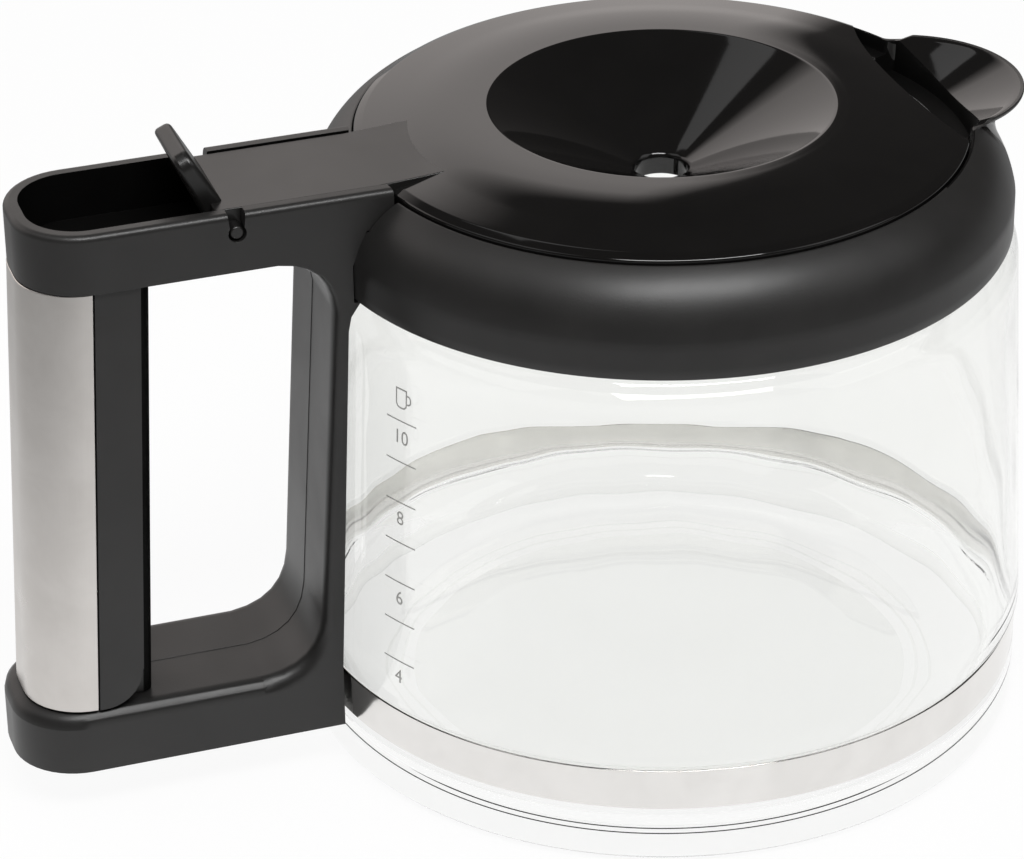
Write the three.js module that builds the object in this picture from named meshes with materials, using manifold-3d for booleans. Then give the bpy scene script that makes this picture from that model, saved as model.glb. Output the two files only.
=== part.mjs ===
// A ten-cup coffee carafe: a flared glass jug, a collar with a pouring spout, a handle
// with a steel-covered grip, a clamped steel band and a hinged lid with a drip funnel.
// Millimetres, +Z up. The origin is the centre of the flat base, the spout points to +X
// and the handle to -X.

import * as THREE from 'three';
import { mergeVertices } from 'three/addons/utils/BufferGeometryUtils.js';
import Module from 'manifold-3d';

const wasm = await Module();
wasm.setup();

// Clearances
const FIT = 0.3; // between pieces that seat on each other
const BAND_FIT = 0.2; // between the band and its groove
const HINGE_PLAY = 0.4; // between the lid's arm and the rails

// Glass jug
const WAIST_RADIUS = 72.6; // just above the band
const BASE_INSET = 0.6; // the base below the band is narrower by this
const TOP_RADIUS = 69.2; // under the shoulder
const BODY_HEIGHT = 96.5; // where the shoulder starts
const HEEL_ROUND = 3.2;
const SHOULDER_ROUND = 7.5;
const NECK_INSET = 11.0; // from the body's top radius to the neck
const NECK_RISE = 16.2; // from the shoulder's start to the rim
const NECK_FILLET = 2.0;
const GLASS_WALL = 2.4;
const BASE_THICKNESS = 3.2;
const INNER_ROUND = 9.0; // inside corner at the base

// Steel band
const BAND_BOTTOM = 12.6;
const BAND_HEIGHT = 8.5;
const BAND_THICKNESS = 0.5;
const GROOVE_DEPTH = 0.8;
const GROOVE_FLANK = 1.4;
const EAR_LENGTH = 12.5;
const EAR_HEIGHT = 6.0;
const EAR_THICKNESS = 0.6;
const EAR_GAP = 2.4;

// Collar and spout
const COLLAR_INSET = 1.2; // from the glass's top radius to the collar's
const COLLAR_LIFT = 6.2; // from the shoulder's start to the collar's lower edge
const COLLAR_HEIGHT = 19.1;
const COLLAR_SKIN = 1.6;
const SHOULDER_WIDTH = 8.2; // from the rim of the mouth out to the collar's side
const SHOULDER_DROP = 11.8;
const LEDGE_DEPTH = 2.6; // the lid's seat below the collar's rim
const LEDGE_WIDTH = 3.8;
const SPOUT_RADIUS = 21.8;
const SPOUT_REACH = 72.9; // from the jug's axis to the tip of the lip
const SPOUT_RISE = 0.9; // of the lip above the collar's rim
const SPOUT_DEPTH = 7.1;
const LIP_EDGE = 1.5;

// Lid
const LID_GAP = 0.8; // between the lid's edge and the collar's rim
const LID_WALL = 2.2;
const LID_RISE = 5.2; // of the funnel's rim above the collar's rim
const FUNNEL_RADIUS = 33.7;
const FUNNEL_DEPTH = 14.1;
const DRIP_RADIUS = 5.2;
const DRIP_LENGTH = 4.2;
const SKIRT_DEPTH = 4.9;
const SKIRT_WALL = 1.8;
const POUR_CUT_RADIUS = 86.5;
const POUR_CUT_REACH = 46.4; // from the axis to the lid's edge at the spout

// Handle
const HANDLE_WIDTH = 30.4;
const ARM_REACH = 127.8; // from the axis to the arm's end
const ARM_HEIGHT = 11.9;
const ARM_CORNER = 13.0;
const ARM_WALL = 2.8;
const TROUGH_FLOOR = 2.2;
const RAIL_RISE = 2.7; // of the rails above the collar's rim
const TONGUE_THICKNESS = 2.3;
const SPINE_THICKNESS = 1.5;
const SPINE_EDGE = 1.5;
const WINDOW_FILLET = 12.0;
const FOOT_STEP = 7.0; // how far the foot reaches past the arm
const FOOT_DROP = 3.0; // of the foot's underside below the band
const FOOT_HEIGHT = 12.9;
const FOOT_EDGE = 3.0;

// Grip
const GRIP_LEAN = 0.048; // run over rise
const GRIP_INSET = 2.6; // from the foot's end to the grip's
const GRIP_SIDE_INSET = 0.8; // from the handle's side to the grip's
const SKIN_THICKNESS = 0.8;
const SKIN_LENGTH = 12.2; // along the handle
const CHEEK_LENGTH = 9.0;
const CHEEK_ROUND = 7.5;
const FINGER_LENGTH = 2.8;
const FINGER_WIDTH = 21.0;
const FINGER_EDGE = 2.0;

// Hinge
const HINGE_REACH = 88.2; // from the axis to the pin
const HINGE_DROP = 4.0; // of the pin below the rails
const PIN_RADIUS = 1.3;
const KEYHOLE_RADIUS = 1.75;
const KEYHOLE_NECK = 2.5;
const KEYHOLE_MOUTH = 3.6;
const BOSS_RADIUS = 3.4;
const ARM_SINK = 0.4; // of the lid's arm below the rails
const TAB_WIDTH = 17.6;
const TAB_HEIGHT = 12.2;
const TAB_THICKNESS = 3.3;
const TAB_ROUND = 3.0;
const TAB_LEAN = 24; // degrees, backwards
const TAB_SETBACK = 3.3; // of the tab's foot behind the pin

// Fasteners
const SCREW_RADIUS = 1.4;
const SCREW_HEAD_RADIUS = 2.8;
const SCREW_HEAD_HEIGHT = 1.5;
const SCREW_LENGTH = 10.0;
const HANDLE_SCREW_SPACING = 15.0;
const BAND_SCREW_DEPTH = 6.0; // of the head below the foot's side
const NUT_FLATS = 5.5;
const NUT_THICKNESS = 2.4;

// Seal
const SEAL_THICKNESS = 0.9;
const SEAL_HEIGHT = 5.5;

// Facets
const ROUND_STEPS = 48;
const SPOUT_STEPS = 40;
const SMALL_STEPS = 16;
const ARC_STEPS = 2;
const OUTLINE_STEPS = 6;
const FLAT = 0.2; // least straight length beside a round
const FAR = 200; // reach of a cut that runs clear of the piece

// Heights and radii that follow from these
const bandTop = BAND_BOTTOM + BAND_HEIGHT;
const bandMiddle = BAND_BOTTOM + BAND_HEIGHT / 2;
const baseRadius = WAIST_RADIUS - BASE_INSET;
const seatRadius = baseRadius - GROOVE_DEPTH;
const bandInner = seatRadius + BAND_FIT;
const bandOuter = bandInner + BAND_THICKNESS;
const waistHeight = bandTop + GROOVE_FLANK;
const widestRadius = Math.max(WAIST_RADIUS, baseRadius, bandOuter);
const shoulderTop = BODY_HEIGHT + SHOULDER_ROUND;
const neckRadius = TOP_RADIUS - NECK_INSET;
const neckTop = BODY_HEIGHT + NECK_RISE;
const collarRadius = TOP_RADIUS - COLLAR_INSET;
const collarBottom = BODY_HEIGHT + COLLAR_LIFT;
const collarTop = collarBottom + COLLAR_HEIGHT;
const rimRadius = collarRadius - SHOULDER_WIDTH;
const ledgeTop = collarTop - LEDGE_DEPTH;
const boreRadius = rimRadius - LEDGE_WIDTH;
const socketRadius = neckRadius + SEAL_THICKNESS + 2 * FIT;
const socketTop = neckTop + SEAL_THICKNESS + 2 * FIT;
const notchFloor = ledgeTop - TONGUE_THICKNESS - FIT;
const lidRadius = rimRadius - LID_GAP;
const lidSeat = ledgeTop + FIT;
const funnelTop = collarTop + LID_RISE;
const halfWidth = HANDLE_WIDTH / 2;
const armTop = collarTop + RAIL_RISE;
const armBottom = armTop - ARM_HEIGHT;
const troughFloor = armBottom + TROUGH_FLOOR;
const channelWidth = HANDLE_WIDTH - 2 * ARM_WALL;
const footBottom = BAND_BOTTOM - FOOT_DROP;
const footTop = footBottom + FOOT_HEIGHT;
const footReach = ARM_REACH + FOOT_STEP;
const gripReach = footReach - GRIP_INSET;
const gripBottom = footTop + FIT;
const gripTop = armBottom - FIT;
const gripHalf = halfWidth - GRIP_SIDE_INSET;
const gripCorner = Math.min(ARM_CORNER - GRIP_SIDE_INSET, SKIN_LENGTH - FLAT);
const hingeHeight = armTop - HINGE_DROP;
const lidArmTop = armTop - ARM_SINK;
const lidArmBottom = ledgeTop + SCREW_HEAD_HEIGHT + 2 * FIT;
const lidArmWidth = channelWidth - 2 * HINGE_PLAY;
const holeRadius = SCREW_RADIUS + FIT;
const headRecess = SCREW_HEAD_RADIUS + 2 * FIT;

const finishes = {
  glass: { color: 0xeef2f0, roughness: 0.05, metalness: 0, transparent: true, opacity: 0.35 },
  satinBlack: { color: 0x2f2e2e, roughness: 0.45, metalness: 0 },
  glossBlack: { color: 0x161515, roughness: 0.12, metalness: 0 },
  brushedSteel: { color: 0xc8c3bd, roughness: 0.35, metalness: 1 },
  polishedSteel: { color: 0xd9d6d0, roughness: 0.1, metalness: 1 },
  sealRubber: { color: 0x55534f, roughness: 0.8, metalness: 0 },
};
const materials = {};
for (const [name, values] of Object.entries(finishes)) {
  materials[name] = new THREE.MeshStandardMaterial({ name, ...values });
}

const carafe = new THREE.Group();
carafe.name = 'carafe';

// A closed geometry as a solid, with its faces turned outwards.
function solid(geometry) {
  const bare = geometry.clone();
  bare.deleteAttribute('normal');
  bare.deleteAttribute('uv');
  const merged = mergeVertices(bare, 1e-4);
  const points = merged.attributes.position;
  const corners = merged.index.array;
  const a = new THREE.Vector3();
  const b = new THREE.Vector3();
  const c = new THREE.Vector3();
  const triangles = [];
  let volume = 0;
  for (let i = 0; i < corners.length; i += 3) {
    const [p, q, r] = corners.slice(i, i + 3);
    if (p === q || q === r || r === p) continue;
    triangles.push([p, q, r]);
    a.fromBufferAttribute(points, p);
    b.fromBufferAttribute(points, q);
    c.fromBufferAttribute(points, r);
    volume += a.dot(b.cross(c));
  }
  const outward = volume > 0 ? triangles : triangles.map(([p, q, r]) => [p, r, q]);
  const mesh = new wasm.Mesh({
    numProp: 3,
    vertProperties: Float32Array.from(points.array),
    triVerts: Uint32Array.from(outward.flat()),
  });
  return new wasm.Manifold(mesh);
}

// A solid as a named mesh of the carafe.
function addPiece(name, body, material) {
  const mesh = body.getMesh();
  const geometry = new THREE.BufferGeometry();
  geometry.setAttribute('position', new THREE.BufferAttribute(mesh.vertProperties, 3));
  geometry.setIndex(new THREE.BufferAttribute(mesh.triVerts, 1));
  geometry.computeVertexNormals();
  const piece = new THREE.Mesh(geometry, material);
  piece.name = name;
  carafe.add(piece);
}

// A profile of radius and height, turned about a vertical line at x.
function revolve(profile, steps = ROUND_STEPS, x = 0) {
  const geometry = new THREE.LatheGeometry(profile.getPoints(ARC_STEPS), steps);
  geometry.rotateX(Math.PI / 2);
  geometry.translate(x, 0, 0);
  return solid(geometry);
}

function box(xLow, xHigh, yLow, yHigh, zLow, zHigh) {
  const geometry = new THREE.BoxGeometry(xHigh - xLow, yHigh - yLow, zHigh - zLow);
  geometry.translate((xLow + xHigh) / 2, (yLow + yHigh) / 2, (zLow + zHigh) / 2);
  return solid(geometry);
}

function uprightRod(radius, x, y, zLow, zHigh, steps = SMALL_STEPS) {
  const geometry = new THREE.CylinderGeometry(radius, radius, zHigh - zLow, steps);
  geometry.rotateX(Math.PI / 2);
  geometry.translate(x, y, (zLow + zHigh) / 2);
  return solid(geometry);
}

function crossRod(radius, x, z, yLow, yHigh, steps = SMALL_STEPS) {
  const geometry = new THREE.CylinderGeometry(radius, radius, yHigh - yLow, steps);
  geometry.translate(x, (yLow + yHigh) / 2, z);
  return solid(geometry);
}

// A plan outline raised between two heights.
function raise(shape, zLow, zHigh) {
  const geometry = new THREE.ExtrudeGeometry(shape, {
    depth: zHigh - zLow,
    bevelEnabled: false,
    curveSegments: OUTLINE_STEPS,
  });
  geometry.translate(0, 0, zLow);
  return geometry;
}

// A side outline of x and z, carried across the handle between two values of y.
function across(shape, yLow, yHigh) {
  const geometry = raise(shape, -yHigh, -yLow);
  geometry.rotateX(Math.PI / 2);
  return solid(geometry);
}

// The plan of the handle's pieces: straight sides and a rounded outer end.
function tongueOutline(reach, roundness, half, innerX) {
  const corner = Math.min(roundness, half - FLAT);
  const shape = new THREE.Shape();
  shape.moveTo(innerX, -half);
  shape.lineTo(innerX, half);
  shape.lineTo(corner - reach, half);
  shape.absarc(corner - reach, half - corner, corner, Math.PI / 2, Math.PI, false);
  shape.absarc(corner - reach, corner - half, corner, Math.PI, Math.PI * 1.5, false);
  shape.lineTo(innerX, -half);
  return shape;
}

// Leans a geometry towards the jug with height, from a level that stays put.
function lean(geometry, level) {
  const shear = new THREE.Matrix4();
  shear.set(1, 0, GRIP_LEAN, -GRIP_LEAN * level, 0, 1, 0, 0, 0, 0, 1, 0, 0, 0, 0, 1);
  return geometry.applyMatrix4(shear);
}

// A body through matching anticlockwise outlines of x and z, one at each value of y.
function loft(outlines, places) {
  const count = outlines[0].length;
  const positions = [];
  outlines.forEach((outline, i) => {
    outline.forEach((point) => positions.push(point.x, places[i], point.y));
  });
  const index = [];
  for (let i = 0; i + 1 < outlines.length; i += 1) {
    for (let j = 0; j < count; j += 1) {
      const near = i * count + j;
      const next = i * count + ((j + 1) % count);
      index.push(near, next, near + count, next, next + count, near + count);
    }
  }
  const last = (outlines.length - 1) * count;
  THREE.ShapeUtils.triangulateShape(outlines[0], []).forEach(([p, q, r]) => {
    index.push(p, r, q, last + p, last + q, last + r);
  });
  const geometry = new THREE.BufferGeometry();
  geometry.setAttribute('position', new THREE.Float32BufferAttribute(positions, 3));
  geometry.setIndex(index);
  return solid(geometry);
}

// A pan-head screw standing head up, with the underside of its head at the origin.
function panHeadScrew(length) {
  const profile = new THREE.Path();
  profile.moveTo(0, -length);
  profile.lineTo(SCREW_RADIUS, -length);
  profile.lineTo(SCREW_RADIUS, 0);
  profile.lineTo(SCREW_HEAD_RADIUS, 0);
  profile.lineTo(SCREW_HEAD_RADIUS, SCREW_HEAD_HEIGHT / 2);
  profile.quadraticCurveTo(SCREW_HEAD_RADIUS, SCREW_HEAD_HEIGHT, 0, SCREW_HEAD_HEIGHT);
  return revolve(profile, SMALL_STEPS);
}

// Outside radius of the room that the flared body and its band take up, at a height.
function roomRadius(height) {
  const share = (height - waistHeight) / (BODY_HEIGHT - waistHeight);
  return widestRadius + (TOP_RADIUS - widestRadius) * share;
}

// Glass jug

function jugBody() {
  const neckCentre = neckRadius + NECK_FILLET;
  const lip = GLASS_WALL / 2;
  const path = new THREE.Path();
  path.moveTo(0, 0);
  path.lineTo(baseRadius - HEEL_ROUND, 0);
  path.absarc(baseRadius - HEEL_ROUND, HEEL_ROUND, HEEL_ROUND, -Math.PI / 2, 0, false);
  path.lineTo(baseRadius, BAND_BOTTOM - GROOVE_FLANK);
  path.lineTo(seatRadius, BAND_BOTTOM - BAND_FIT);
  path.lineTo(seatRadius, bandTop + BAND_FIT);
  path.lineTo(WAIST_RADIUS, waistHeight);
  path.absarc(TOP_RADIUS - SHOULDER_ROUND, BODY_HEIGHT, SHOULDER_ROUND, 0, Math.PI / 2, false);
  path.absarc(neckCentre, shoulderTop + NECK_FILLET, NECK_FILLET, -Math.PI / 2, -Math.PI, true);
  path.absarc(neckRadius - lip, neckTop - lip, lip, 0, Math.PI, false);
  const innerFillet = NECK_FILLET + GLASS_WALL;
  path.absarc(neckCentre, shoulderTop + NECK_FILLET, innerFillet, Math.PI, Math.PI * 1.5, false);
  const innerShoulder = SHOULDER_ROUND - GLASS_WALL;
  path.absarc(TOP_RADIUS - SHOULDER_ROUND, BODY_HEIGHT, innerShoulder, Math.PI / 2, 0, true);
  path.lineTo(WAIST_RADIUS - GLASS_WALL, waistHeight);
  const cornerRadius = baseRadius - GLASS_WALL - INNER_ROUND;
  path.absarc(cornerRadius, BASE_THICKNESS + INNER_ROUND, INNER_ROUND, 0, -Math.PI / 2, true);
  path.lineTo(0, BASE_THICKNESS);
  return revolve(path);
}

// The room that the jug and its band need, with a clearance.
function jugRoom(clearance) {
  const widest = widestRadius + clearance;
  const path = new THREE.Path();
  path.moveTo(0, -FAR);
  path.lineTo(widest, -FAR);
  path.lineTo(widest, waistHeight);
  path.absarc(TOP_RADIUS - SHOULDER_ROUND, BODY_HEIGHT, SHOULDER_ROUND + clearance, 0, Math.PI / 2, false);
  path.lineTo(neckRadius + clearance, shoulderTop + clearance);
  path.lineTo(neckRadius + clearance, neckTop);
  path.lineTo(0, neckTop);
  return revolve(path);
}

function neckSeal() {
  const inner = neckRadius - GLASS_WALL;
  const outer = neckRadius + FIT + SEAL_THICKNESS;
  const top = neckTop + FIT + SEAL_THICKNESS;
  const path = new THREE.Path();
  path.moveTo(inner, neckTop + FIT);
  path.lineTo(neckRadius + FIT, neckTop + FIT);
  path.lineTo(neckRadius + FIT, top - SEAL_HEIGHT);
  path.lineTo(outer, top - SEAL_HEIGHT);
  path.lineTo(outer, top);
  path.lineTo(inner, top);
  path.lineTo(inner, neckTop + FIT);
  return revolve(path);
}

// Collar and spout

// The collar's outside, up its side and over the shoulder to the rim of the mouth.
function collarOutside(path, grow) {
  const side = collarRadius + grow;
  path.lineTo(side, collarBottom - grow);
  path.lineTo(side, collarTop - SHOULDER_DROP);
  path.quadraticCurveTo(
    side - SHOULDER_WIDTH / 5,
    collarTop - SHOULDER_DROP / 3 + grow,
    rimRadius,
    collarTop + grow,
  );
}

function collarRoom(grow) {
  const path = new THREE.Path();
  path.moveTo(0, collarBottom - grow);
  collarOutside(path, grow);
  path.lineTo(0, collarTop + grow);
  return revolve(path);
}

// The mouth from above and the socket for the neck from below.
function collarBore() {
  const path = new THREE.Path();
  path.moveTo(0, collarBottom - FAR);
  path.lineTo(socketRadius, collarBottom - FAR);
  path.lineTo(socketRadius, socketTop);
  path.lineTo(boreRadius, socketTop);
  path.lineTo(boreRadius, ledgeTop);
  path.lineTo(rimRadius, ledgeTop);
  path.lineTo(rimRadius, collarTop + FAR);
  path.lineTo(0, collarTop + FAR);
  return revolve(path);
}

// The hollow between the collar's skin and the wall of its socket, open below.
function collarHollow() {
  const socketWall = socketRadius + COLLAR_SKIN;
  const skin = collarRadius - COLLAR_SKIN;
  const path = new THREE.Path();
  path.moveTo(socketWall, collarBottom - FAR);
  path.lineTo(skin, collarBottom - FAR);
  path.lineTo(skin, collarTop - SHOULDER_DROP);
  path.lineTo(socketWall, socketTop + COLLAR_SKIN / 2);
  path.lineTo(socketWall, collarBottom - FAR);
  return revolve(path);
}

const spoutCentre = SPOUT_REACH - SPOUT_RADIUS;
const lipTop = collarTop + SPOUT_RISE;
const spoutFloor = lipTop - SPOUT_DEPTH;

// The flared outside of the spout, turned about the centre of its lip.
function spoutOutside() {
  const neck = SPOUT_RADIUS * 0.79;
  const path = new THREE.Path();
  path.moveTo(0, collarTop - SHOULDER_DROP);
  path.lineTo(neck - LIP_EDGE / 2, collarTop - SHOULDER_DROP);
  path.lineTo(neck - LIP_EDGE / 4, spoutFloor);
  path.quadraticCurveTo(neck + LIP_EDGE / 4, lipTop - SPOUT_DEPTH / 2, SPOUT_RADIUS, lipTop - LIP_EDGE);
  path.quadraticCurveTo(SPOUT_RADIUS + LIP_EDGE / 3, lipTop, SPOUT_RADIUS - LIP_EDGE / 2, lipTop);
  path.lineTo(0, lipTop);
  return revolve(path, SPOUT_STEPS, spoutCentre);
}

// The bowl that the coffee runs through, from the mouth out to the lip.
function spoutBowl() {
  const edge = SPOUT_RADIUS - LIP_EDGE;
  const path = new THREE.Path();
  path.moveTo(0, spoutFloor);
  path.lineTo(edge / 2, spoutFloor);
  path.bezierCurveTo(
    edge * 0.75,
    spoutFloor,
    edge * 0.92,
    spoutFloor + SPOUT_DEPTH * 0.5,
    edge,
    lipTop,
  );
  path.lineTo(edge, lipTop + FAR);
  path.lineTo(0, lipTop + FAR);
  return revolve(path, SPOUT_STEPS, spoutCentre);
}

const handleScrewX = -(socketRadius + collarRadius - COLLAR_SKIN) / 2;

function collarBody() {
  let bosses = uprightRod(1, handleScrewX, 0, socketTop, notchFloor);
  for (const side of [-1, 1]) {
    const y = (side * HANDLE_SCREW_SPACING) / 2;
    bosses = bosses.add(uprightRod(holeRadius + COLLAR_SKIN, handleScrewX, y, shoulderTop + FIT, notchFloor));
  }
  const ring = collarRoom(0).subtract(collarHollow());
  let body = ring.add(bosses.intersect(collarRoom(0))).add(spoutOutside());
  body = body.subtract(collarBore()).subtract(spoutBowl()).subtract(jugRoom(FIT));
  const seat = halfWidth + FIT;
  body = body.subtract(box(-FAR, -boreRadius / 2, -seat, seat, notchFloor, FAR));
  for (const side of [-1, 1]) {
    const y = (side * HANDLE_SCREW_SPACING) / 2;
    const bottom = ledgeTop - SCREW_LENGTH - 2 * FIT;
    body = body.subtract(uprightRod(holeRadius, handleScrewX, y, bottom, FAR));
  }
  return body;
}

// Handle

const keyhole = { x: -HINGE_REACH, z: hingeHeight };

// The opening for the fingers at a cut that is wider by the rounding of its edges.
function windowOutline(spineGrow, footGrow) {
  const topX = -(roomRadius(armBottom) + FIT + SPINE_THICKNESS) + spineGrow;
  const lowX = -(roomRadius(footTop) + FIT + SPINE_THICKNESS) + spineGrow;
  const low = footTop - footGrow;
  const shape = new THREE.Path();
  shape.moveTo(-FAR, low);
  shape.lineTo(lowX - WINDOW_FILLET, low);
  shape.quadraticCurveTo(lowX - 1, low + 1, lowX, low + WINDOW_FILLET);
  shape.lineTo(topX, armBottom - WINDOW_FILLET);
  shape.quadraticCurveTo(topX - 1, armBottom - 1, topX - WINDOW_FILLET, armBottom);
  shape.lineTo(-FAR, armBottom);
  return shape.getPoints(OUTLINE_STEPS);
}

function windowCut() {
  const turns = [0, 0.25, 0.5, 0.75, 1].map((share) => (share * Math.PI) / 2);
  const half = turns.map((turn) => ({
    place: halfWidth - FOOT_EDGE * (1 - Math.sin(turn)),
    share: 1 - Math.cos(turn),
  }));
  half.push({ place: FAR, share: 1 });
  const left = [...half].reverse().map(({ place, share }) => ({ place: -place, share }));
  const stations = [...left, ...half];
  const outlines = stations.map(({ share }) => windowOutline(SPINE_EDGE * share, FOOT_EDGE * share));
  const places = stations.map(({ place }) => place);
  return loft(outlines, places);
}

function footBlock() {
  const outline = tongueOutline(footReach, ARM_CORNER, halfWidth, -bandInner / 2);
  const geometry = new THREE.ExtrudeGeometry(outline, {
    depth: FOOT_HEIGHT,
    bevelThickness: FOOT_EDGE,
    bevelSize: FOOT_EDGE,
    bevelOffset: -FOOT_EDGE,
    bevelSegments: 3,
    curveSegments: OUTLINE_STEPS,
  });
  geometry.translate(0, 0, footTop - FOOT_HEIGHT - FOOT_EDGE);
  return solid(geometry).subtract(box(-FAR, FAR, -FAR, FAR, -FAR, footBottom));
}

// The slots that the hinge pin snaps down into, one through each wall.
function keyholeCut() {
  const shape = new THREE.Shape();
  shape.moveTo(keyhole.x - KEYHOLE_NECK / 2, keyhole.z);
  shape.lineTo(keyhole.x + KEYHOLE_NECK / 2, keyhole.z);
  shape.lineTo(keyhole.x + KEYHOLE_MOUTH / 2, armTop + 1);
  shape.lineTo(keyhole.x - KEYHOLE_MOUTH / 2, armTop + 1);
  shape.closePath();
  const slot = across(shape, -FAR, FAR);
  return slot.add(crossRod(KEYHOLE_RADIUS, keyhole.x, keyhole.z, -FAR, FAR));
}

// The top of the handle's tongue, where it reaches over the collar to the mouth.
function mouthCut() {
  const path = new THREE.Path();
  path.moveTo(0, -FAR);
  path.lineTo(boreRadius + COLLAR_SKIN, -FAR);
  path.lineTo(boreRadius + COLLAR_SKIN, ledgeTop);
  path.lineTo(rimRadius + FIT, ledgeTop);
  path.lineTo(rimRadius + FIT, FAR);
  path.lineTo(0, FAR);
  return revolve(path);
}

const troughInnerX = BOSS_RADIUS + 2 * FIT + ARM_WALL / 2 - HINGE_REACH;
const bandScrewX = -(bandOuter + EAR_LENGTH * 0.62);
const bandScrewHead = halfWidth - BAND_SCREW_DEPTH;
const earHalf = EAR_GAP / 2 + EAR_THICKNESS + FIT;
const nutHalf = earHalf + NUT_THICKNESS + FIT;
const nutPoints = NUT_FLATS / Math.sqrt(3);

// The pocket in the foot for the band's ears, their screw and its nut.
function clampPocket() {
  const inner = -bandInner / 2;
  const outer = -(bandOuter + EAR_LENGTH + FIT);
  const half = EAR_HEIGHT / 2 + FIT;
  const ears = box(outer, inner, -earHalf, earHalf, bandMiddle - half, bandMiddle + half);
  const nutRoom = NUT_FLATS / 2 + FIT;
  const nutX = bandScrewX - nutPoints - FIT;
  const nut = box(nutX, inner, -nutHalf, 0, bandMiddle - nutRoom, bandMiddle + nutRoom);
  const shank = crossRod(holeRadius, bandScrewX, bandMiddle, -nutHalf - 2, halfWidth);
  const head = crossRod(headRecess, bandScrewX, bandMiddle, bandScrewHead - FIT, FAR);
  return ears.add(nut).add(shank).add(head);
}

const gripMiddle = SKIN_LENGTH * 0.83;
const upperScrewX = -gripReach + gripMiddle + GRIP_LEAN * (gripTop - footTop);
const lowerScrewX = -gripReach + gripMiddle;
const lowerHead = footBottom + SCREW_HEAD_HEIGHT + FIT;

function handleFrame() {
  const arm = solid(raise(tongueOutline(ARM_REACH, ARM_CORNER, halfWidth, -boreRadius / 2), armBottom, armTop));
  const spineOuter = -(roomRadius(footTop) + SPINE_THICKNESS + WINDOW_FILLET + 1);
  const spine = box(spineOuter, -boreRadius / 2, -halfWidth, halfWidth, footBottom, armTop);
  let body = arm.add(footBlock()).add(spine).subtract(windowCut());
  const collarTaken = collarRoom(FIT).subtract(box(-FAR, FAR, -FAR, FAR, notchFloor + FIT, FAR));
  body = body.subtract(jugRoom(FIT)).subtract(collarTaken).subtract(mouthCut());
  const half = channelWidth / 2;
  const trough = tongueOutline(ARM_REACH - ARM_WALL, ARM_CORNER - ARM_WALL, half, troughInnerX);
  body = body.subtract(solid(raise(trough, troughFloor, armTop + 1)));
  body = body.subtract(box(troughInnerX - 1, 0, -half, half, ledgeTop, armTop + 1));
  body = body.subtract(keyholeCut()).subtract(clampPocket());
  body = body.subtract(uprightRod(holeRadius, upperScrewX, 0, gripTop, troughFloor + 1));
  body = body.subtract(uprightRod(headRecess, lowerScrewX, 0, -FAR, lowerHead + FIT));
  body = body.subtract(uprightRod(holeRadius, lowerScrewX, 0, 0, gripBottom + 1));
  for (const side of [-1, 1]) {
    const y = (side * HANDLE_SCREW_SPACING) / 2;
    body = body.subtract(uprightRod(holeRadius, handleScrewX, y, collarBottom, ledgeTop + 1));
  }
  return body;
}

// Grip

const skinEndX = -gripReach + SKIN_LENGTH;
const cheekStartX = skinEndX + FIT;
const cheekEndX = skinEndX + CHEEK_LENGTH;
const fingerEndX = cheekEndX + FINGER_LENGTH;

function gripPrism(shape) {
  return solid(lean(raise(shape, gripBottom, gripTop), footTop));
}

function gripSkin() {
  const outer = gripPrism(tongueOutline(gripReach, gripCorner, gripHalf, skinEndX));
  const inset = SKIN_THICKNESS;
  const hollow = tongueOutline(gripReach - inset, gripCorner - inset, gripHalf - inset, skinEndX + 1);
  return outer.subtract(solid(lean(raise(hollow, gripBottom - 1, gripTop + 1), footTop)));
}

// The lower inner corner of each cheek is rounded off beside the finger ridge.
function cheekCorner() {
  const shape = new THREE.Shape();
  shape.moveTo(cheekEndX - CHEEK_ROUND, gripBottom - 1);
  shape.lineTo(cheekEndX + 2, gripBottom - 1);
  shape.lineTo(cheekEndX + 2, gripBottom + CHEEK_ROUND);
  shape.absarc(cheekEndX - CHEEK_ROUND, gripBottom + CHEEK_ROUND, CHEEK_ROUND, 0, -Math.PI / 2, true);
  shape.closePath();
  const inner = FINGER_WIDTH / 2;
  return across(shape, inner, FAR).add(across(shape, -FAR, -inner));
}

function gripCore() {
  const inset = SKIN_THICKNESS + FIT;
  const tongue = tongueOutline(gripReach - inset, gripCorner - inset, gripHalf - inset, cheekStartX + 1);
  const cheeks = new THREE.Shape();
  cheeks.moveTo(cheekStartX, -gripHalf);
  cheeks.lineTo(cheekEndX, -gripHalf);
  cheeks.lineTo(cheekEndX, gripHalf);
  cheeks.lineTo(cheekStartX, gripHalf);
  cheeks.closePath();
  const finger = FINGER_WIDTH / 2;
  const edge = fingerEndX - FINGER_EDGE;
  const ridge = new THREE.Shape();
  ridge.moveTo(cheekEndX - 1, -finger);
  ridge.lineTo(edge, -finger);
  ridge.absarc(edge, FINGER_EDGE - finger, FINGER_EDGE, -Math.PI / 2, 0, false);
  ridge.absarc(edge, finger - FINGER_EDGE, FINGER_EDGE, 0, Math.PI / 2, false);
  ridge.lineTo(cheekEndX - 1, finger);
  ridge.closePath();
  let body = gripPrism(tongue).add(gripPrism(cheeks).subtract(cheekCorner())).add(gripPrism(ridge));
  const depth = SCREW_LENGTH + FIT;
  body = body.subtract(uprightRod(holeRadius, upperScrewX, 0, troughFloor - depth, FAR));
  const lowerDepth = lowerHead + 2 * SCREW_LENGTH + FIT;
  return body.subtract(uprightRod(holeRadius, lowerScrewX, 0, 0, lowerDepth));
}

// Steel band

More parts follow.
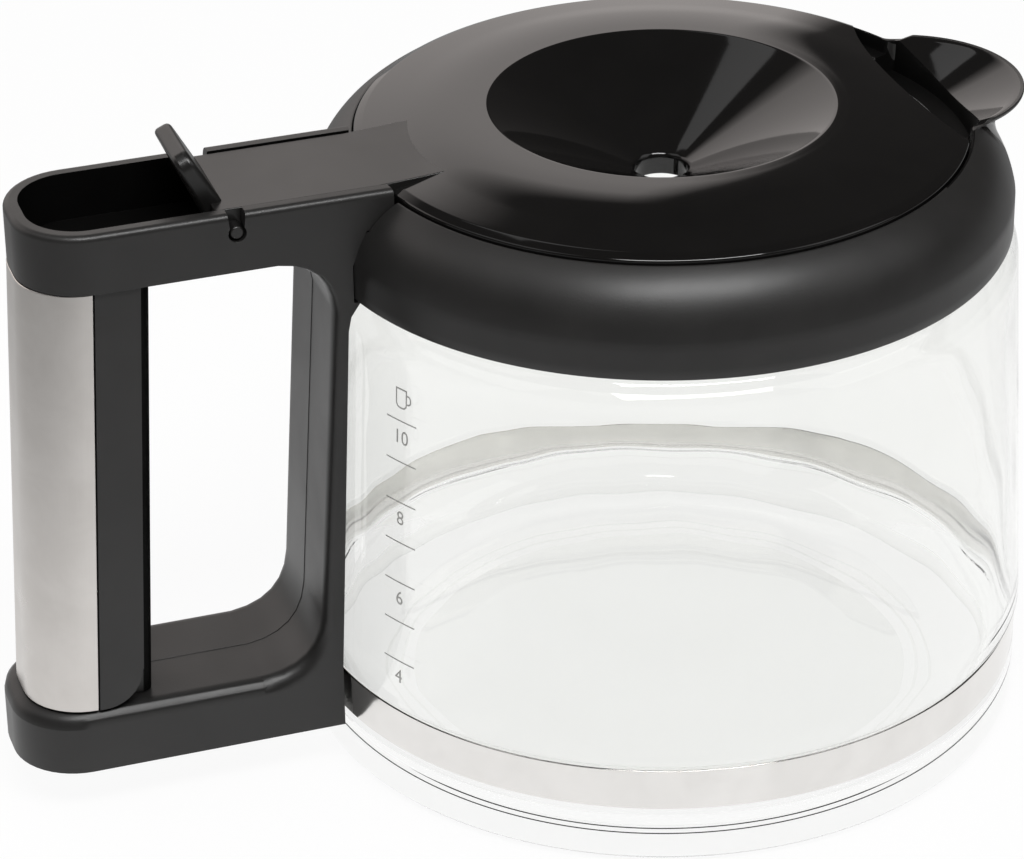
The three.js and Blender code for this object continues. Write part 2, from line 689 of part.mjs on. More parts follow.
function steelBand() {
  const path = new THREE.Path();
  path.moveTo(bandInner, BAND_BOTTOM);
  path.lineTo(bandOuter, BAND_BOTTOM);
  path.lineTo(bandOuter, bandTop);
  path.lineTo(bandInner, bandTop);
  path.lineTo(bandInner, BAND_BOTTOM);
  let body = revolve(path);
  const gap = EAR_GAP / 2;
  body = body.subtract(box(-FAR, 0, -gap, gap, -FAR, FAR));
  const root = -Math.sqrt(bandInner ** 2 - (gap + EAR_THICKNESS) ** 2) - BAND_THICKNESS / 4;
  const tip = -(bandOuter + EAR_LENGTH);
  const low = bandMiddle - EAR_HEIGHT / 2;
  for (const side of [-1, 1]) {
    const y = side > 0 ? gap : -gap - EAR_THICKNESS;
    body = body.add(box(tip, root, y, y + EAR_THICKNESS, low, low + EAR_HEIGHT));
  }
  return body.subtract(crossRod(holeRadius, bandScrewX, bandMiddle, -earHalf, earHalf));
}

function bandNut() {
  const outer = new THREE.CylinderGeometry(nutPoints, nutPoints, NUT_THICKNESS, 6);
  outer.rotateY(Math.PI / 6);
  outer.translate(bandScrewX, -earHalf - NUT_THICKNESS / 2, bandMiddle);
  return solid(outer).subtract(crossRod(holeRadius, bandScrewX, bandMiddle, -nutHalf, 0));
}

// Lid

function lidDisc() {
  const dripTop = funnelTop - FUNNEL_DEPTH;
  const rimInner = FUNNEL_RADIUS - 2.9;
  const rimOuter = FUNNEL_RADIUS + 3.7;
  const slope = (funnelTop - 1.5 - dripTop) / (rimInner - DRIP_RADIUS);
  const drop = LID_WALL * Math.hypot(1, slope);
  const edgeTop = collarTop + 0.8;
  const tube = DRIP_RADIUS + LID_WALL;
  const tubeRoot = dripTop + slope * LID_WALL - drop;
  const skirt = boreRadius - FIT - LID_GAP / 4;
  const path = new THREE.Path();
  path.moveTo(DRIP_RADIUS, dripTop);
  path.lineTo(rimInner, funnelTop - 1.5);
  path.quadraticCurveTo(FUNNEL_RADIUS, funnelTop + 0.3, rimOuter, funnelTop - 0.5);
  path.quadraticCurveTo((rimOuter + lidRadius) / 2, funnelTop - 3, lidRadius - 0.9, edgeTop);
  path.quadraticCurveTo(lidRadius, edgeTop - 0.1, lidRadius, edgeTop - 1);
  path.lineTo(lidRadius, lidSeat + 0.5);
  path.lineTo(lidRadius - 0.5, lidSeat);
  path.lineTo(skirt, lidSeat);
  path.lineTo(skirt, lidSeat - SKIRT_DEPTH);
  path.lineTo(skirt - SKIRT_WALL, lidSeat - SKIRT_DEPTH);
  path.lineTo(skirt - SKIRT_WALL, lidSeat + 0.7);
  path.lineTo(rimOuter, funnelTop - 0.5 - LID_WALL);
  path.lineTo(FUNNEL_RADIUS, funnelTop - drop - 0.3);
  path.lineTo(tube, tubeRoot);
  path.lineTo(tube, dripTop - DRIP_LENGTH);
  path.lineTo(DRIP_RADIUS, dripTop - DRIP_LENGTH);
  path.lineTo(DRIP_RADIUS, dripTop);
  return revolve(path);
}

// The thumb tab, a plate with rounded corners that leans back over the trough.
function thumbTab() {
  const half = TAB_WIDTH / 2;
  const root = -BOSS_RADIUS / 2;
  const shape = new THREE.Shape();
  shape.moveTo(-half, root);
  shape.lineTo(half, root);
  shape.absarc(half - TAB_ROUND, TAB_HEIGHT - TAB_ROUND, TAB_ROUND, 0, Math.PI / 2, false);
  shape.absarc(TAB_ROUND - half, TAB_HEIGHT - TAB_ROUND, TAB_ROUND, Math.PI / 2, Math.PI, false);
  shape.closePath();
  const geometry = raise(shape, -TAB_THICKNESS / 2, TAB_THICKNESS / 2);
  const angle = THREE.MathUtils.degToRad(TAB_LEAN);
  const widthAxis = new THREE.Vector3(0, 1, 0);
  const upAxis = new THREE.Vector3(-Math.sin(angle), 0, Math.cos(angle));
  const thicknessAxis = new THREE.Vector3(Math.cos(angle), 0, Math.sin(angle));
  const place = new THREE.Matrix4().makeBasis(widthAxis, upAxis, thicknessAxis);
  place.setPosition(-HINGE_REACH - TAB_SETBACK, 0, lidArmTop - 1.4);
  return solid(geometry.applyMatrix4(place));
}

function lidBody() {
  const half = lidArmWidth / 2;
  const armRear = -HINGE_REACH - BOSS_RADIUS + 0.1;
  const armRoot = -(FUNNEL_RADIUS + lidRadius) / 2;
  const profile = new THREE.Shape();
  profile.moveTo(armRear, lidArmBottom);
  profile.lineTo(-lidRadius, lidArmBottom);
  profile.lineTo(armRoot, (lidArmBottom + lidArmTop) / 2);
  profile.lineTo(armRoot, lidArmTop);
  profile.lineTo(armRear, lidArmTop);
  profile.closePath();
  const slab = across(profile, -half, half);
  const boss = crossRod(BOSS_RADIUS, -HINGE_REACH, hingeHeight, -half, half, 2 * SMALL_STEPS);
  const under = lidSeat - SKIRT_DEPTH;
  const pourCut = uprightRod(POUR_CUT_RADIUS, POUR_CUT_REACH + POUR_CUT_RADIUS, 0, under - 1, FAR, ROUND_STEPS);
  const body = lidDisc().subtract(pourCut).add(slab).add(boss).add(thumbTab());
  return body.subtract(crossRod(PIN_RADIUS + FIT, -HINGE_REACH, hingeHeight, -halfWidth, halfWidth));
}

// Assembly

addPiece('glass_jug', jugBody(), materials.glass);
addPiece('neck_seal', neckSeal(), materials.sealRubber);
addPiece('collar', collarBody(), materials.satinBlack);
addPiece('handle_frame', handleFrame(), materials.satinBlack);
addPiece('grip_core', gripCore(), materials.satinBlack);
addPiece('grip_skin', gripSkin(), materials.brushedSteel);
addPiece('steel_band', steelBand(), materials.polishedSteel);
addPiece('band_nut', bandNut(), materials.polishedSteel);
addPiece('lid', lidBody(), materials.glossBlack);
const pinHalf = halfWidth - FIT;
addPiece('hinge_pin', crossRod(PIN_RADIUS, -HINGE_REACH, hingeHeight, -pinHalf, pinHalf), materials.satinBlack);

const screwSeats = {
  handle_screw_front: [handleScrewX, -HANDLE_SCREW_SPACING / 2, ledgeTop + FIT / 2],
  handle_screw_rear: [handleScrewX, HANDLE_SCREW_SPACING / 2, ledgeTop + FIT / 2],
  grip_screw_upper: [upperScrewX, 0, troughFloor + FIT / 2],
};
for (const [name, seat] of Object.entries(screwSeats)) {
  addPiece(name, panHeadScrew(SCREW_LENGTH).translate(seat), materials.polishedSteel);
}
const upward = panHeadScrew(2 * SCREW_LENGTH).rotate([180, 0, 0]);
addPiece('grip_screw_lower', upward.translate([lowerScrewX, 0, lowerHead]), materials.polishedSteel);
const sideways = panHeadScrew(bandScrewHead + nutHalf).rotate([-90, 0, 0]);
addPiece('band_screw', sideways.translate([bandScrewX, bandScrewHead, bandMiddle]), materials.polishedSteel);

export default carafe;
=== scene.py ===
# %% [markdown]
# # A glass coffee carafe
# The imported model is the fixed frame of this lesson. Every piece below is laid over one of its
# solids, in metres, with the spout towards +X, the handle towards -X and the table at z = 0. Sizes
# are written in millimetres, as on a drawing, and turned into metres where a mesh is made.

# %% Load the frame
import math

import bmesh
import bpy
import numpy as np
from mathutils import Matrix, Quaternion, Vector


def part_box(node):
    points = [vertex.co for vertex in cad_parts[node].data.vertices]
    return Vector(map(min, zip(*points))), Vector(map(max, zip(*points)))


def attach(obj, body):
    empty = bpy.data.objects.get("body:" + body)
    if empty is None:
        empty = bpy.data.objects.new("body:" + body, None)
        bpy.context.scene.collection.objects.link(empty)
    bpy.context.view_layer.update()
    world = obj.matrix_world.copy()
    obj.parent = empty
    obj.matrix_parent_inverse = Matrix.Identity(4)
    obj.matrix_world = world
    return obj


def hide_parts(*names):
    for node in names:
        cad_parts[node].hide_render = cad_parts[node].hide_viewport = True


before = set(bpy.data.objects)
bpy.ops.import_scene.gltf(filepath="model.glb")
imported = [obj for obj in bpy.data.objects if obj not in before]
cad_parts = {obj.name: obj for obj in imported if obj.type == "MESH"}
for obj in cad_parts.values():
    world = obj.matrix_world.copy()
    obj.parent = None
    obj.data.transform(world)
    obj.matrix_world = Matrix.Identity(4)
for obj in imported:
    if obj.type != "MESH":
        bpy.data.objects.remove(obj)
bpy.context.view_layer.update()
scene = bpy.context.scene
scene.view_settings.view_transform = "Standard"
MM = 0.001

# %% [markdown]
# ## Camera
# The camera's place was worked out from the ellipses of the jug and the lid: it looks down by about
# 29 degrees, from the handle's side. A long lens keeps the upright edges nearly parallel, and there
# is a very small roll.

# %% Camera
CAMERA_AZIMUTH = math.radians(-18)
CAMERA_ELEVATION = math.radians(29.36)
CAMERA_ROLL = math.radians(-0.78)
CAMERA_DISTANCE = 855.7 * MM
CAMERA_TARGET = Vector((-27.96, 9.09, 55.13)) * MM
SENSOR_WIDTH = 36.0
LENS_LENGTH = 151.03

level = math.cos(CAMERA_ELEVATION)
camera_side = Vector((
    math.sin(CAMERA_AZIMUTH) * level,
    -math.cos(CAMERA_AZIMUTH) * level,
    math.sin(CAMERA_ELEVATION),
))
camera = bpy.data.objects.new("camera", bpy.data.cameras.new("camera"))
camera.data.sensor_width = SENSOR_WIDTH
camera.data.lens = LENS_LENGTH
camera.location = CAMERA_TARGET + CAMERA_DISTANCE * camera_side
camera_turn = (-camera_side).to_track_quat("-Z", "Y") @ Quaternion((0, 0, 1), CAMERA_ROLL)
camera.rotation_euler = camera_turn.to_euler()
scene.collection.objects.link(camera)
scene.camera = camera
print("camera at", [round(value, 4) for value in camera.location])

# %% [markdown]
# ## Helpers for node trees
# A material is a tree of nodes. Made by hand, each node is one line to create, one to set and one
# to link, so small helpers keep the cells short: one adds a node with its values, one joins an
# output to an input, one does so for a whole list, one maps a range of values onto another, and one
# starts a node group with its named sockets.

# %% Node helpers
SOCKET_KINDS = {float: "NodeSocketFloat", int: "NodeSocketInt", tuple: "NodeSocketVector"}
SHAPE = "NodeSocketGeometry"


def add_node(tree, kind, values=None, **settings):
    node = tree.nodes.new(kind)
    for name, value in settings.items():
        setattr(node, name, value)
    for name, value in (values or {}).items():
        node.inputs[name].default_value = value
    return node


def join(tree, source, output, target, entry):
    tree.links.new(source.outputs[output], target.inputs[entry])


def join_all(tree, links):
    for source, output, target, entry in links:
        join(tree, source, output, target, entry)


def map_range(tree, low, high, start=0.0, end=1.0):
    ends = {"From Min": low, "From Max": high, "To Min": start, "To Max": end}
    return add_node(tree, "ShaderNodeMapRange", ends)


def new_group(name, inputs, outputs, kind="ShaderNodeTree"):
    group = bpy.data.node_groups.new(name, kind)
    for label, value in inputs.items():
        socket = SOCKET_KINDS.get(type(value), value)
        made = group.interface.new_socket(label, in_out="INPUT", socket_type=socket)
        if socket != value:
            made.default_value = value
    for label, socket in outputs.items():
        group.interface.new_socket(label, in_out="OUTPUT", socket_type=socket)
    entry = group.nodes.new("NodeGroupInput")
    result = group.nodes.new("NodeGroupOutput")
    return group, entry, result


print("node helpers ready")

# %% [markdown]
# ## Effects that several finishes share
# Moulded plastic has a fine spark-eroded grain, handled surfaces have soft patches where they are a
# little duller, and rolled steel has hair lines. Each is a shader node group that puts out a height
# or a mask, so that every material can use it with its own scale.

# %% Mould grain
grain_group, entry, result = new_group(
    "mould_grain", {"Scale": 1800.0}, {"Height": "NodeSocketFloat"}
)
place = add_node(grain_group, "ShaderNodeTexCoord")
pits = add_node(grain_group, "ShaderNodeTexNoise", {"Detail": 3.0, "Roughness": 0.6})
join_all(grain_group, [
    (place, "Object", pits, "Vector"),
    (entry, "Scale", pits, "Scale"),
    (pits, 0, result, "Height"),
])
print("group", grain_group.name)

# %% Handling patches
patch_group, entry, result = new_group(
    "handling_patches", {"Scale": 45.0, "Low": 0.2, "High": 0.3}, {"Value": "NodeSocketFloat"}
)
place = add_node(patch_group, "ShaderNodeTexCoord")
cloud = add_node(patch_group, "ShaderNodeTexNoise", {
    "Detail": 4.0, "Roughness": 0.55, "Distortion": 0.4,
})
spread = map_range(patch_group, 0.3, 0.7)
join_all(patch_group, [
    (place, "Object", cloud, "Vector"),
    (entry, "Scale", cloud, "Scale"),
    (cloud, 0, spread, "Value"),
    (entry, "Low", spread, "To Min"),
    (entry, "High", spread, "To Max"),
    (spread, "Result", result, "Value"),
])
print("group", patch_group.name)

# %% Hair lines
hair_group, entry, result = new_group(
    "hair_lines", {"Stretch": (1.0, 1.0, 1.0)}, {"Height": "NodeSocketFloat"}
)
place = add_node(hair_group, "ShaderNodeTexCoord")
pulled = add_node(hair_group, "ShaderNodeVectorMath", operation="MULTIPLY")
lines = add_node(hair_group, "ShaderNodeTexNoise", {"Scale": 1.0, "Detail": 5.0, "Roughness": 0.7})
join_all(hair_group, [
    (place, "Object", pulled, 0),
    (entry, "Stretch", pulled, 1),
    (pulled, "Vector", lines, "Vector"),
    (lines, 0, result, "Height"),
])
print("group", hair_group.name)

# %% [markdown]
# ## Finishes
# Each finish starts from a Principled shader. What is the same all over is set on its own socket,
# and what changes over the surface comes from a group: the colour runs between two close tones, the
# roughness follows the handling patches and a bump gives the grain. Black plastic looks grey in a
# bright room because of what it reflects, so its own colour is much darker than it seems.

# %% Material helper
TONE_PATCHES = 1.7  # the colour's patches are this much finer than the roughness's


def use_group(tree, group, **values):
    node = add_node(tree, "ShaderNodeGroup", node_tree=group)
    for name, value in values.items():
        node.inputs[name].default_value = value
    return node


def new_finish(name, dark, light, rough, patch_scale=45.0, **sockets):
    material = bpy.data.materials.new(name)
    material.use_nodes = True
    tree = material.node_tree
    shader = tree.nodes["Principled BSDF"]
    for socket, value in sockets.items():
        shader.inputs[socket.replace("_", " ")].default_value = value
    tone = use_group(tree, patch_group, Scale=patch_scale * TONE_PATCHES, Low=0.0, High=1.0)
    ramp = add_node(tree, "ShaderNodeValToRGB")
    ramp.color_ramp.elements[0].color = (*dark, 1.0)
    ramp.color_ramp.elements[1].color = (*light, 1.0)
    dull = use_group(tree, patch_group, Scale=patch_scale, Low=rough[0], High=rough[1])
    join(tree, tone, "Value", ramp, "Fac")
    join(tree, ramp, "Color", shader, "Base Color")
    join(tree, dull, "Value", shader, "Roughness")
    return material


def add_bump(material, texture, depth, strength):
    tree = material.node_tree
    bump = add_node(tree, "ShaderNodeBump", {"Strength": strength, "Distance": depth * MM})
    join(tree, texture, "Height", bump, "Height")
    join(tree, bump, "Normal", tree.nodes["Principled BSDF"], "Normal")


def grain_on(material, scale, depth, strength):
    add_bump(material, use_group(material.node_tree, grain_group, Scale=scale), depth, strength)


def hair_on(material, stretch, depth, strength):
    add_bump(material, use_group(material.node_tree, hair_group, Stretch=stretch), depth, strength)


print("finish helpers ready")

# %% Plastics and rubber
FINE_GRAIN = 2600.0

satin_black = new_finish(
    "satin_black", (0.014, 0.0136, 0.0132), (0.018, 0.0174, 0.0169), (0.36, 0.43),
    Specular_IOR_Level=0.47,
)
grain_on(satin_black, FINE_GRAIN, 0.04, 0.35)
gloss_black = new_finish(
    "gloss_black", (0.0045, 0.0043, 0.0042), (0.006, 0.0057, 0.0055), (0.05, 0.075), 30.0,
)
grain_on(gloss_black, 420.0, 0.02, 0.08)
lever_black = new_finish(
    "lever_black", (0.009, 0.0086, 0.0083), (0.012, 0.0115, 0.011), (0.28, 0.34), 30.0,
)
grain_on(lever_black, FINE_GRAIN, 0.03, 0.2)
# Painted shade: a near-black finish with almost no reflection, put on recesses where shade falls:
# the spout's throat, the handle's trough and the grip's finger ridge.
dull_black = new_finish(
    "dull_black", (0.0018, 0.0017, 0.0016), (0.0028, 0.0027, 0.0026), (0.55, 0.65),
    Specular_IOR_Level=0.08,
)
grain_on(dull_black, FINE_GRAIN, 0.04, 0.35)
seal_rubber = new_finish(
    "seal_rubber", (0.018, 0.0175, 0.017), (0.026, 0.025, 0.0245), (0.55, 0.68),
)
grain_on(seal_rubber, 3200.0, 0.05, 0.5)
print("plastics:", satin_black.name, gloss_black.name, lever_black.name, dull_black.name)
print("rubber:", seal_rubber.name)

# %% Steels
HAIR_UPRIGHT = (5200.0, 5200.0, 55.0)
HAIR_LEVEL = (60.0, 60.0, 4200.0)

brushed_steel = new_finish(
    "brushed_steel", (0.63, 0.603, 0.577), (0.69, 0.663, 0.637), (0.27, 0.33), 60.0,
    Metallic=1.0, Anisotropic=0.6,
)
hair_on(brushed_steel, HAIR_UPRIGHT, 0.03, 0.35)
polished_steel = new_finish(
    "polished_steel", (0.77, 0.755, 0.735), (0.82, 0.805, 0.785), (0.1, 0.15), 70.0,
    Metallic=1.0,
)
hair_on(polished_steel, HAIR_LEVEL, 0.02, 0.12)
zinc_steel = new_finish(
    "zinc_steel", (0.5, 0.51, 0.52), (0.62, 0.62, 0.61), (0.28, 0.42), 300.0,
    Metallic=1.0,
)
grain_on(zinc_steel, 2400.0, 0.04, 0.3)
print("steels:", brushed_steel.name, polished_steel.name, zinc_steel.name)

# %% Glass and print
clear_glass = new_finish(
    "clear_glass", (0.962, 0.966, 0.954), (0.972, 0.976, 0.965), (0.0, 0.003), 30.0,
    Transmission_Weight=1.0, IOR=1.47,
)
scale_print = new_finish(
    "scale_print", (0.37, 0.37, 0.36), (0.43, 0.43, 0.415), (0.5, 0.62), 200.0,
)
grain_on(scale_print, FINE_GRAIN, 0.03, 0.3)
print("glass:", clear_glass.name, "print:", scale_print.name)

# %% [markdown]
# ## Helpers for meshes
# Most pieces of a carafe are turned shapes. A cross-section is drawn as corners with a radius each,
# as on a drawing, and its points are carried round the axis as rings. The same helper takes any
# rings of points, also where the rings are not circles, and closes them into one skin.

# %% Outlines and rings
def rounded(corners, steps=6):
    points = []
    for index, (x, y, radius) in enumerate(corners):
        here = Vector((x, y))
        if radius == 0:
            points.append(here)
            continue
        before = (Vector(corners[index - 1][:2]) - here).normalized()
        after = (Vector(corners[(index + 1) % len(corners)][:2]) - here).normalized()
        half = before.angle(after) / 2
        start = before * radius / math.tan(half)
        end = after * radius / math.tan(half)
        middle = (before + after).normalized() * radius / math.sin(half)
        for step in range(steps + 1):
            arm = (start - middle).lerp(end - middle, step / steps)
            points.append(here + middle + arm.normalized() * radius)
    return np.array([tuple(point) for point in points])


def bezier(points, steps):
    rows = np.array(points, dtype=float)
    share = np.linspace(0, 1, steps)[:, None]
    rows = [np.repeat(row[None], steps, axis=0) for row in rows]
    while len(rows) > 1:
        rows = [here + (there - here) * share for here, there in zip(rows, rows[1:])]
    return rows[0]


def divided(points, longest):
    result = []
    for here, there in zip(points, np.roll(points, -1, axis=0)):
        count = max(1, math.ceil(np.linalg.norm(there - here) / longest))
        result.extend(here + (there - here) * step / count for step in range(count))
    return np.array(result)


def turns_of(count):
    return np.arange(count) * 2 * math.pi / count


def circle_points(x, y, radius, turns):
    return [(x + radius * math.cos(turn), y + radius * math.sin(turn)) for turn in turns]


def rings(radius, height, angle):
    x, y, z = np.broadcast_arrays(radius * np.cos(angle), radius * np.sin(angle), height)
    return np.stack([x, y, z], axis=-1)


def soft_step(low, high, value):
    share = np.clip((value - low) / (high - low), 0, 1)
    return share * share * (3 - 2 * share)


print("outline and ring helpers ready")

# %% Skins
SHARP_TURN = 32.0
NEAR_POINTS = 0.002 * MM


def cleaned(mesh, sharp=SHARP_TURN):
    work = bmesh.new()
    work.from_mesh(mesh)
    bmesh.ops.remove_doubles(work, verts=work.verts, dist=NEAR_POINTS)
    bmesh.ops.recalc_face_normals(work, faces=work.faces)
    work.to_mesh(mesh)
    work.free()
    mesh.shade_smooth()
    mesh.set_sharp_from_angle(angle=math.radians(sharp))
    return mesh


def skin(name, points, sharp=SHARP_TURN, closed=True):
    rows, columns = points.shape[:2]
    spans = columns if closed else columns - 1
    row, column = np.meshgrid(np.arange(rows), np.arange(spans), indexing="ij")
    next_row = (row + 1) % rows
    next_column = (column + 1) % columns
    corners = [(row, column), (row, next_column), (next_row, next_column), (next_row, column)]
    faces = np.stack([r * columns + c for r, c in corners], axis=-1).reshape(-1, 4).tolist()
    if not closed:
        faces.append([step * columns for step in range(rows)])
        faces.append([step * columns + columns - 1 for step in range(rows)])
    mesh = bpy.data.meshes.new(name)
    mesh.from_pydata((points.reshape(-1, 3) * MM).tolist(), [], faces)
    return cleaned(mesh, sharp)


print("skin helpers ready")

# %% [markdown]
# A flat outline can also be pushed along one direction, for an arm or a tab. Where a piece has to
# be cut, a Boolean modifier does it, and the result is taken as a plain mesh with new_from_object,
# so nothing live is left on the piece.

# %% Prisms, cuts and bevels
def prism(name, outline, low, high, axis="Y"):
    lower = [(x, low, z) if axis == "Y" else (x, z, low) for x, z in outline]
    upper = [(x, high, z) if axis == "Y" else (x, z, high) for x, z in outline]
    count = len(outline)
    faces = [tuple(range(count)), tuple(range(2 * count - 1, count - 1, -1))]
    faces += [(i, (i + 1) % count, (i + 1) % count + count, i + count) for i in range(count)]
    mesh = bpy.data.meshes.new(name)
    mesh.from_pydata([[value * MM for value in point] for point in lower + upper], [], faces)
    return cleaned(mesh)


def helper_object(mesh):
    made = bpy.data.objects.new(mesh.name, mesh)
    scene.collection.objects.link(made)
    return made


def baked(made, name):
    state = bpy.context.evaluated_depsgraph_get()
    mesh = bpy.data.meshes.new_from_object(made.evaluated_get(state))
    mesh.name = name
    bpy.data.objects.remove(made)
    return mesh


def cut_from(mesh, tool):
    body = helper_object(mesh)
    cutter = helper_object(tool)
    cut = body.modifiers.new("cut", "BOOLEAN")
    cut.object = cutter
    cut.operation = "DIFFERENCE"
    cut.solver = "EXACT"
    result = baked(body, mesh.name)
    bpy.data.objects.remove(cutter)
    return cleaned(result)


def bevelled(mesh, width, segments, angle=SHARP_TURN):
    body = helper_object(mesh)
    bevel = body.modifiers.new("edges", "BEVEL")
    bevel.width = width * MM
    bevel.segments = segments
    bevel.limit_method = "ANGLE"
    bevel.angle_limit = math.radians(angle)
    bevel.miter_outer = "MITER_ARC"
    even = body.modifiers.new("even_light", "WEIGHTED_NORMAL")
    even.keep_sharp = True
    return baked(body, mesh.name)


print("cut and bevel helpers ready")

# %% Pieces and their finishes
def merged(name, meshes):
    work = bmesh.new()
    for mesh in meshes:
        work.from_mesh(mesh)
    result = bpy.data.meshes.new(name)
    work.to_mesh(result)
    work.free()
    return result


def add_piece(name, mesh, finish, body, nodes=()):
    mesh.materials.clear()
    mesh.materials.append(finish)
    piece = helper_object(mesh)
    piece.name = name
    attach(piece, body)
    if nodes:
        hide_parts(*nodes)
    print(name, "has", len(mesh.polygons), "faces")
    return piece


def second_finish(piece, finish, chosen):
    piece.data.materials.append(finish)
    picked = [face for face in piece.data.polygons if chosen(face.center / MM, face.normal)]
    for face in picked:
        face.material_index = len(piece.data.materials) - 1
    print(piece.name, "has", len(picked), "faces in", finish.name)


print("piece helpers ready")

# %% [markdown]
# ## Glass jug
# The jug is blown into a mould, so its outside is true and its inside is not: the wall is a little
# thicker here and thinner there, and that makes the far side of the band look wavy through it. The
# cross-section is turned in rings, and only the points of the inner wall are moved, by less than a
# tenth of a millimetre. The underside has a shallow recess and two fine rings round it. Where the
# glass leaves the table there, it reflects inside, and that draws two thin dark lines under the
# band.

# %% Jug sizes
BASE_RADIUS = 72.0
WAIST_RADIUS = 72.6
WAIST_HEIGHT = 22.5
TOP_RADIUS = 69.2
TOP_HEIGHT = 96.5
SHOULDER_HEIGHT = 104.0
NECK_RADIUS = 58.2
NECK_HEIGHT = 112.7
GLASS_WALL = 2.4
GLASS_FLOOR = 3.2
FLOOR_CORNER = 14.0
RECESS_RADIUS = 51.5
RECESS_SLOPE = 9.0
RECESS_HEIGHT = 0.3
RING_STARTS = (51.8, 54.6)
RING_PROFILE = [(0.0, 0.0, 0), (0.7, 0.09, 0), (1.4, 0.0, 0)]
FLOOR_EDGE = 69.4
THIN_WALL = 2.2
WALL_START = 25.0
WALL_TURN = 86.0
WALL_END = 101.5
WALL_LEAN = [
    (WALL_START, 3.2), (87.0, 3.2), (90.7, 3.9), (94.1, 6.1),
    (95.8, 13.0), (97.1, 32.0), (99.0, 50.0), (WALL_END, 78.0),
]
GROOVE_RADIUS = 71.2
GROOVE_BOTTOM = 12.4
GROOVE_TOP = 21.3

wall_slope = (TOP_RADIUS - WAIST_RADIUS) / (TOP_HEIGHT - WAIST_HEIGHT)


def glass_radius(height):
    return WAIST_RADIUS + wall_slope * (height - WAIST_HEIGHT)


print("glass radius at the shoulder:", round(glass_radius(SHOULDER_HEIGHT), 2))

# %% Jug cross-section
LONGEST_STEP = 3.0

neck_inside = NECK_RADIUS - GLASS_WALL
base_rings = [
    (start + across, height, corner)
    for start in RING_STARTS
    for across, height, corner in RING_PROFILE
]
jug_outside = rounded([
    (0.0, RECESS_HEIGHT, 0),
    (RECESS_RADIUS - RECESS_SLOPE, RECESS_HEIGHT, 30.0),
    (RECESS_RADIUS, 0.0, 0),
    *base_rings,
    (BASE_RADIUS, 0.0, 3.2),
    (BASE_RADIUS, GROOVE_BOTTOM - 1.2, 0.5),
    (GROOVE_RADIUS, GROOVE_BOTTOM, 0.3),
    (GROOVE_RADIUS, GROOVE_TOP, 0.3),
    (WAIST_RADIUS, WAIST_HEIGHT, 0.9),
    (glass_radius(SHOULDER_HEIGHT), SHOULDER_HEIGHT, 7.5),
    (NECK_RADIUS, SHOULDER_HEIGHT, 2.0),
    (NECK_RADIUS, NECK_HEIGHT, 1.15),
    (neck_inside, NECK_HEIGHT, 1.15),
    (neck_inside, SHOULDER_HEIGHT + 1, 0),
], steps=8)
lean_heights, leans = np.array(WALL_LEAN).T
wall_heights = np.concatenate([
    np.linspace(WALL_START, WALL_TURN, 25),
    np.linspace(WALL_TURN + 0.4, WALL_END, 39),
])
wall_leans = np.tan(np.radians(np.interp(wall_heights, lean_heights, leans)))
wall_steps = np.diff(wall_heights) * (wall_leans[1:] + wall_leans[:-1]) / 2
wall_radii = glass_radius(WALL_START) - THIN_WALL - np.concatenate([[0], np.cumsum(wall_steps)])
jug_wall = np.stack([wall_radii, wall_heights], axis=1)[::-1]
neck_fillet = bezier([jug_outside[-1], (neck_inside, jug_wall[0, 1] + 0.4), jug_wall[0]], 9)
jug_bottom = rounded([
    (*jug_wall[-1], 0),
    (FLOOR_EDGE, GLASS_FLOOR, FLOOR_CORNER),
    (0.0, GLASS_FLOOR, 0),
], steps=8)
jug_outline = np.vstack([jug_outside, neck_fillet[1:], jug_wall[1:], jug_bottom[1:]])
jug_outline = divided(jug_outline, LONGEST_STEP)
print("jug cross-section:", len(jug_outline), "points")

# %% Jug
WALL_RIPPLE = 0.018
RIPPLE_INSIDE = 40
RIPPLE_SKIN = 1.5
RIPPLE_LOW = (6.0, 20.0)
RIPPLE_HIGH = (97.0, 80.0)
RIPPLES = [(1.0, 7, 11.0, 0.0), (0.8, 17, -7.0, 1.3), (0.7, 29, 4.5, 0.4), (0.9, 2, 6.5, 0.0)]

jug_turns = turns_of(288)
jug_radius, jug_height = jug_outline[:, :1], jug_outline[:, 1:]
ripple = sum(
    amount * np.sin(waves * jug_turns + jug_height / length + phase)
    for amount, waves, length, phase in RIPPLES
)
inner_wall = (jug_radius > RIPPLE_INSIDE) & (jug_radius < glass_radius(jug_height) - RIPPLE_SKIN)
fade = soft_step(*RIPPLE_LOW, jug_height) * soft_step(*RIPPLE_HIGH, jug_height)
jug_points = rings(jug_radius + WALL_RIPPLE * ripple * fade * inner_wall, jug_height, jug_turns)
jug_mesh = skin("glass_jug", jug_points, 50)
add_piece("jug_glass", jug_mesh, clear_glass, "jug", ["glass_jug"])

# %% [markdown]
# ## Steel band
# A thin polished strap lies in the groove of the glass, and its ends turn out into two ears inside
# the handle's foot, where a screw draws them together. The ring is made as rows of points with a
# gap, and the ears are two small plates.

# %% Band
BAND_INSIDE = 71.4
BAND_OUTSIDE = 71.9
BAND_BOTTOM = 12.6
BAND_TOP = 21.1
BAND_GAP = 2.4
EAR_THICKNESS = 0.6
EAR_END = -84.4
EAR_BOTTOM = 13.85
EAR_TOP = 19.85

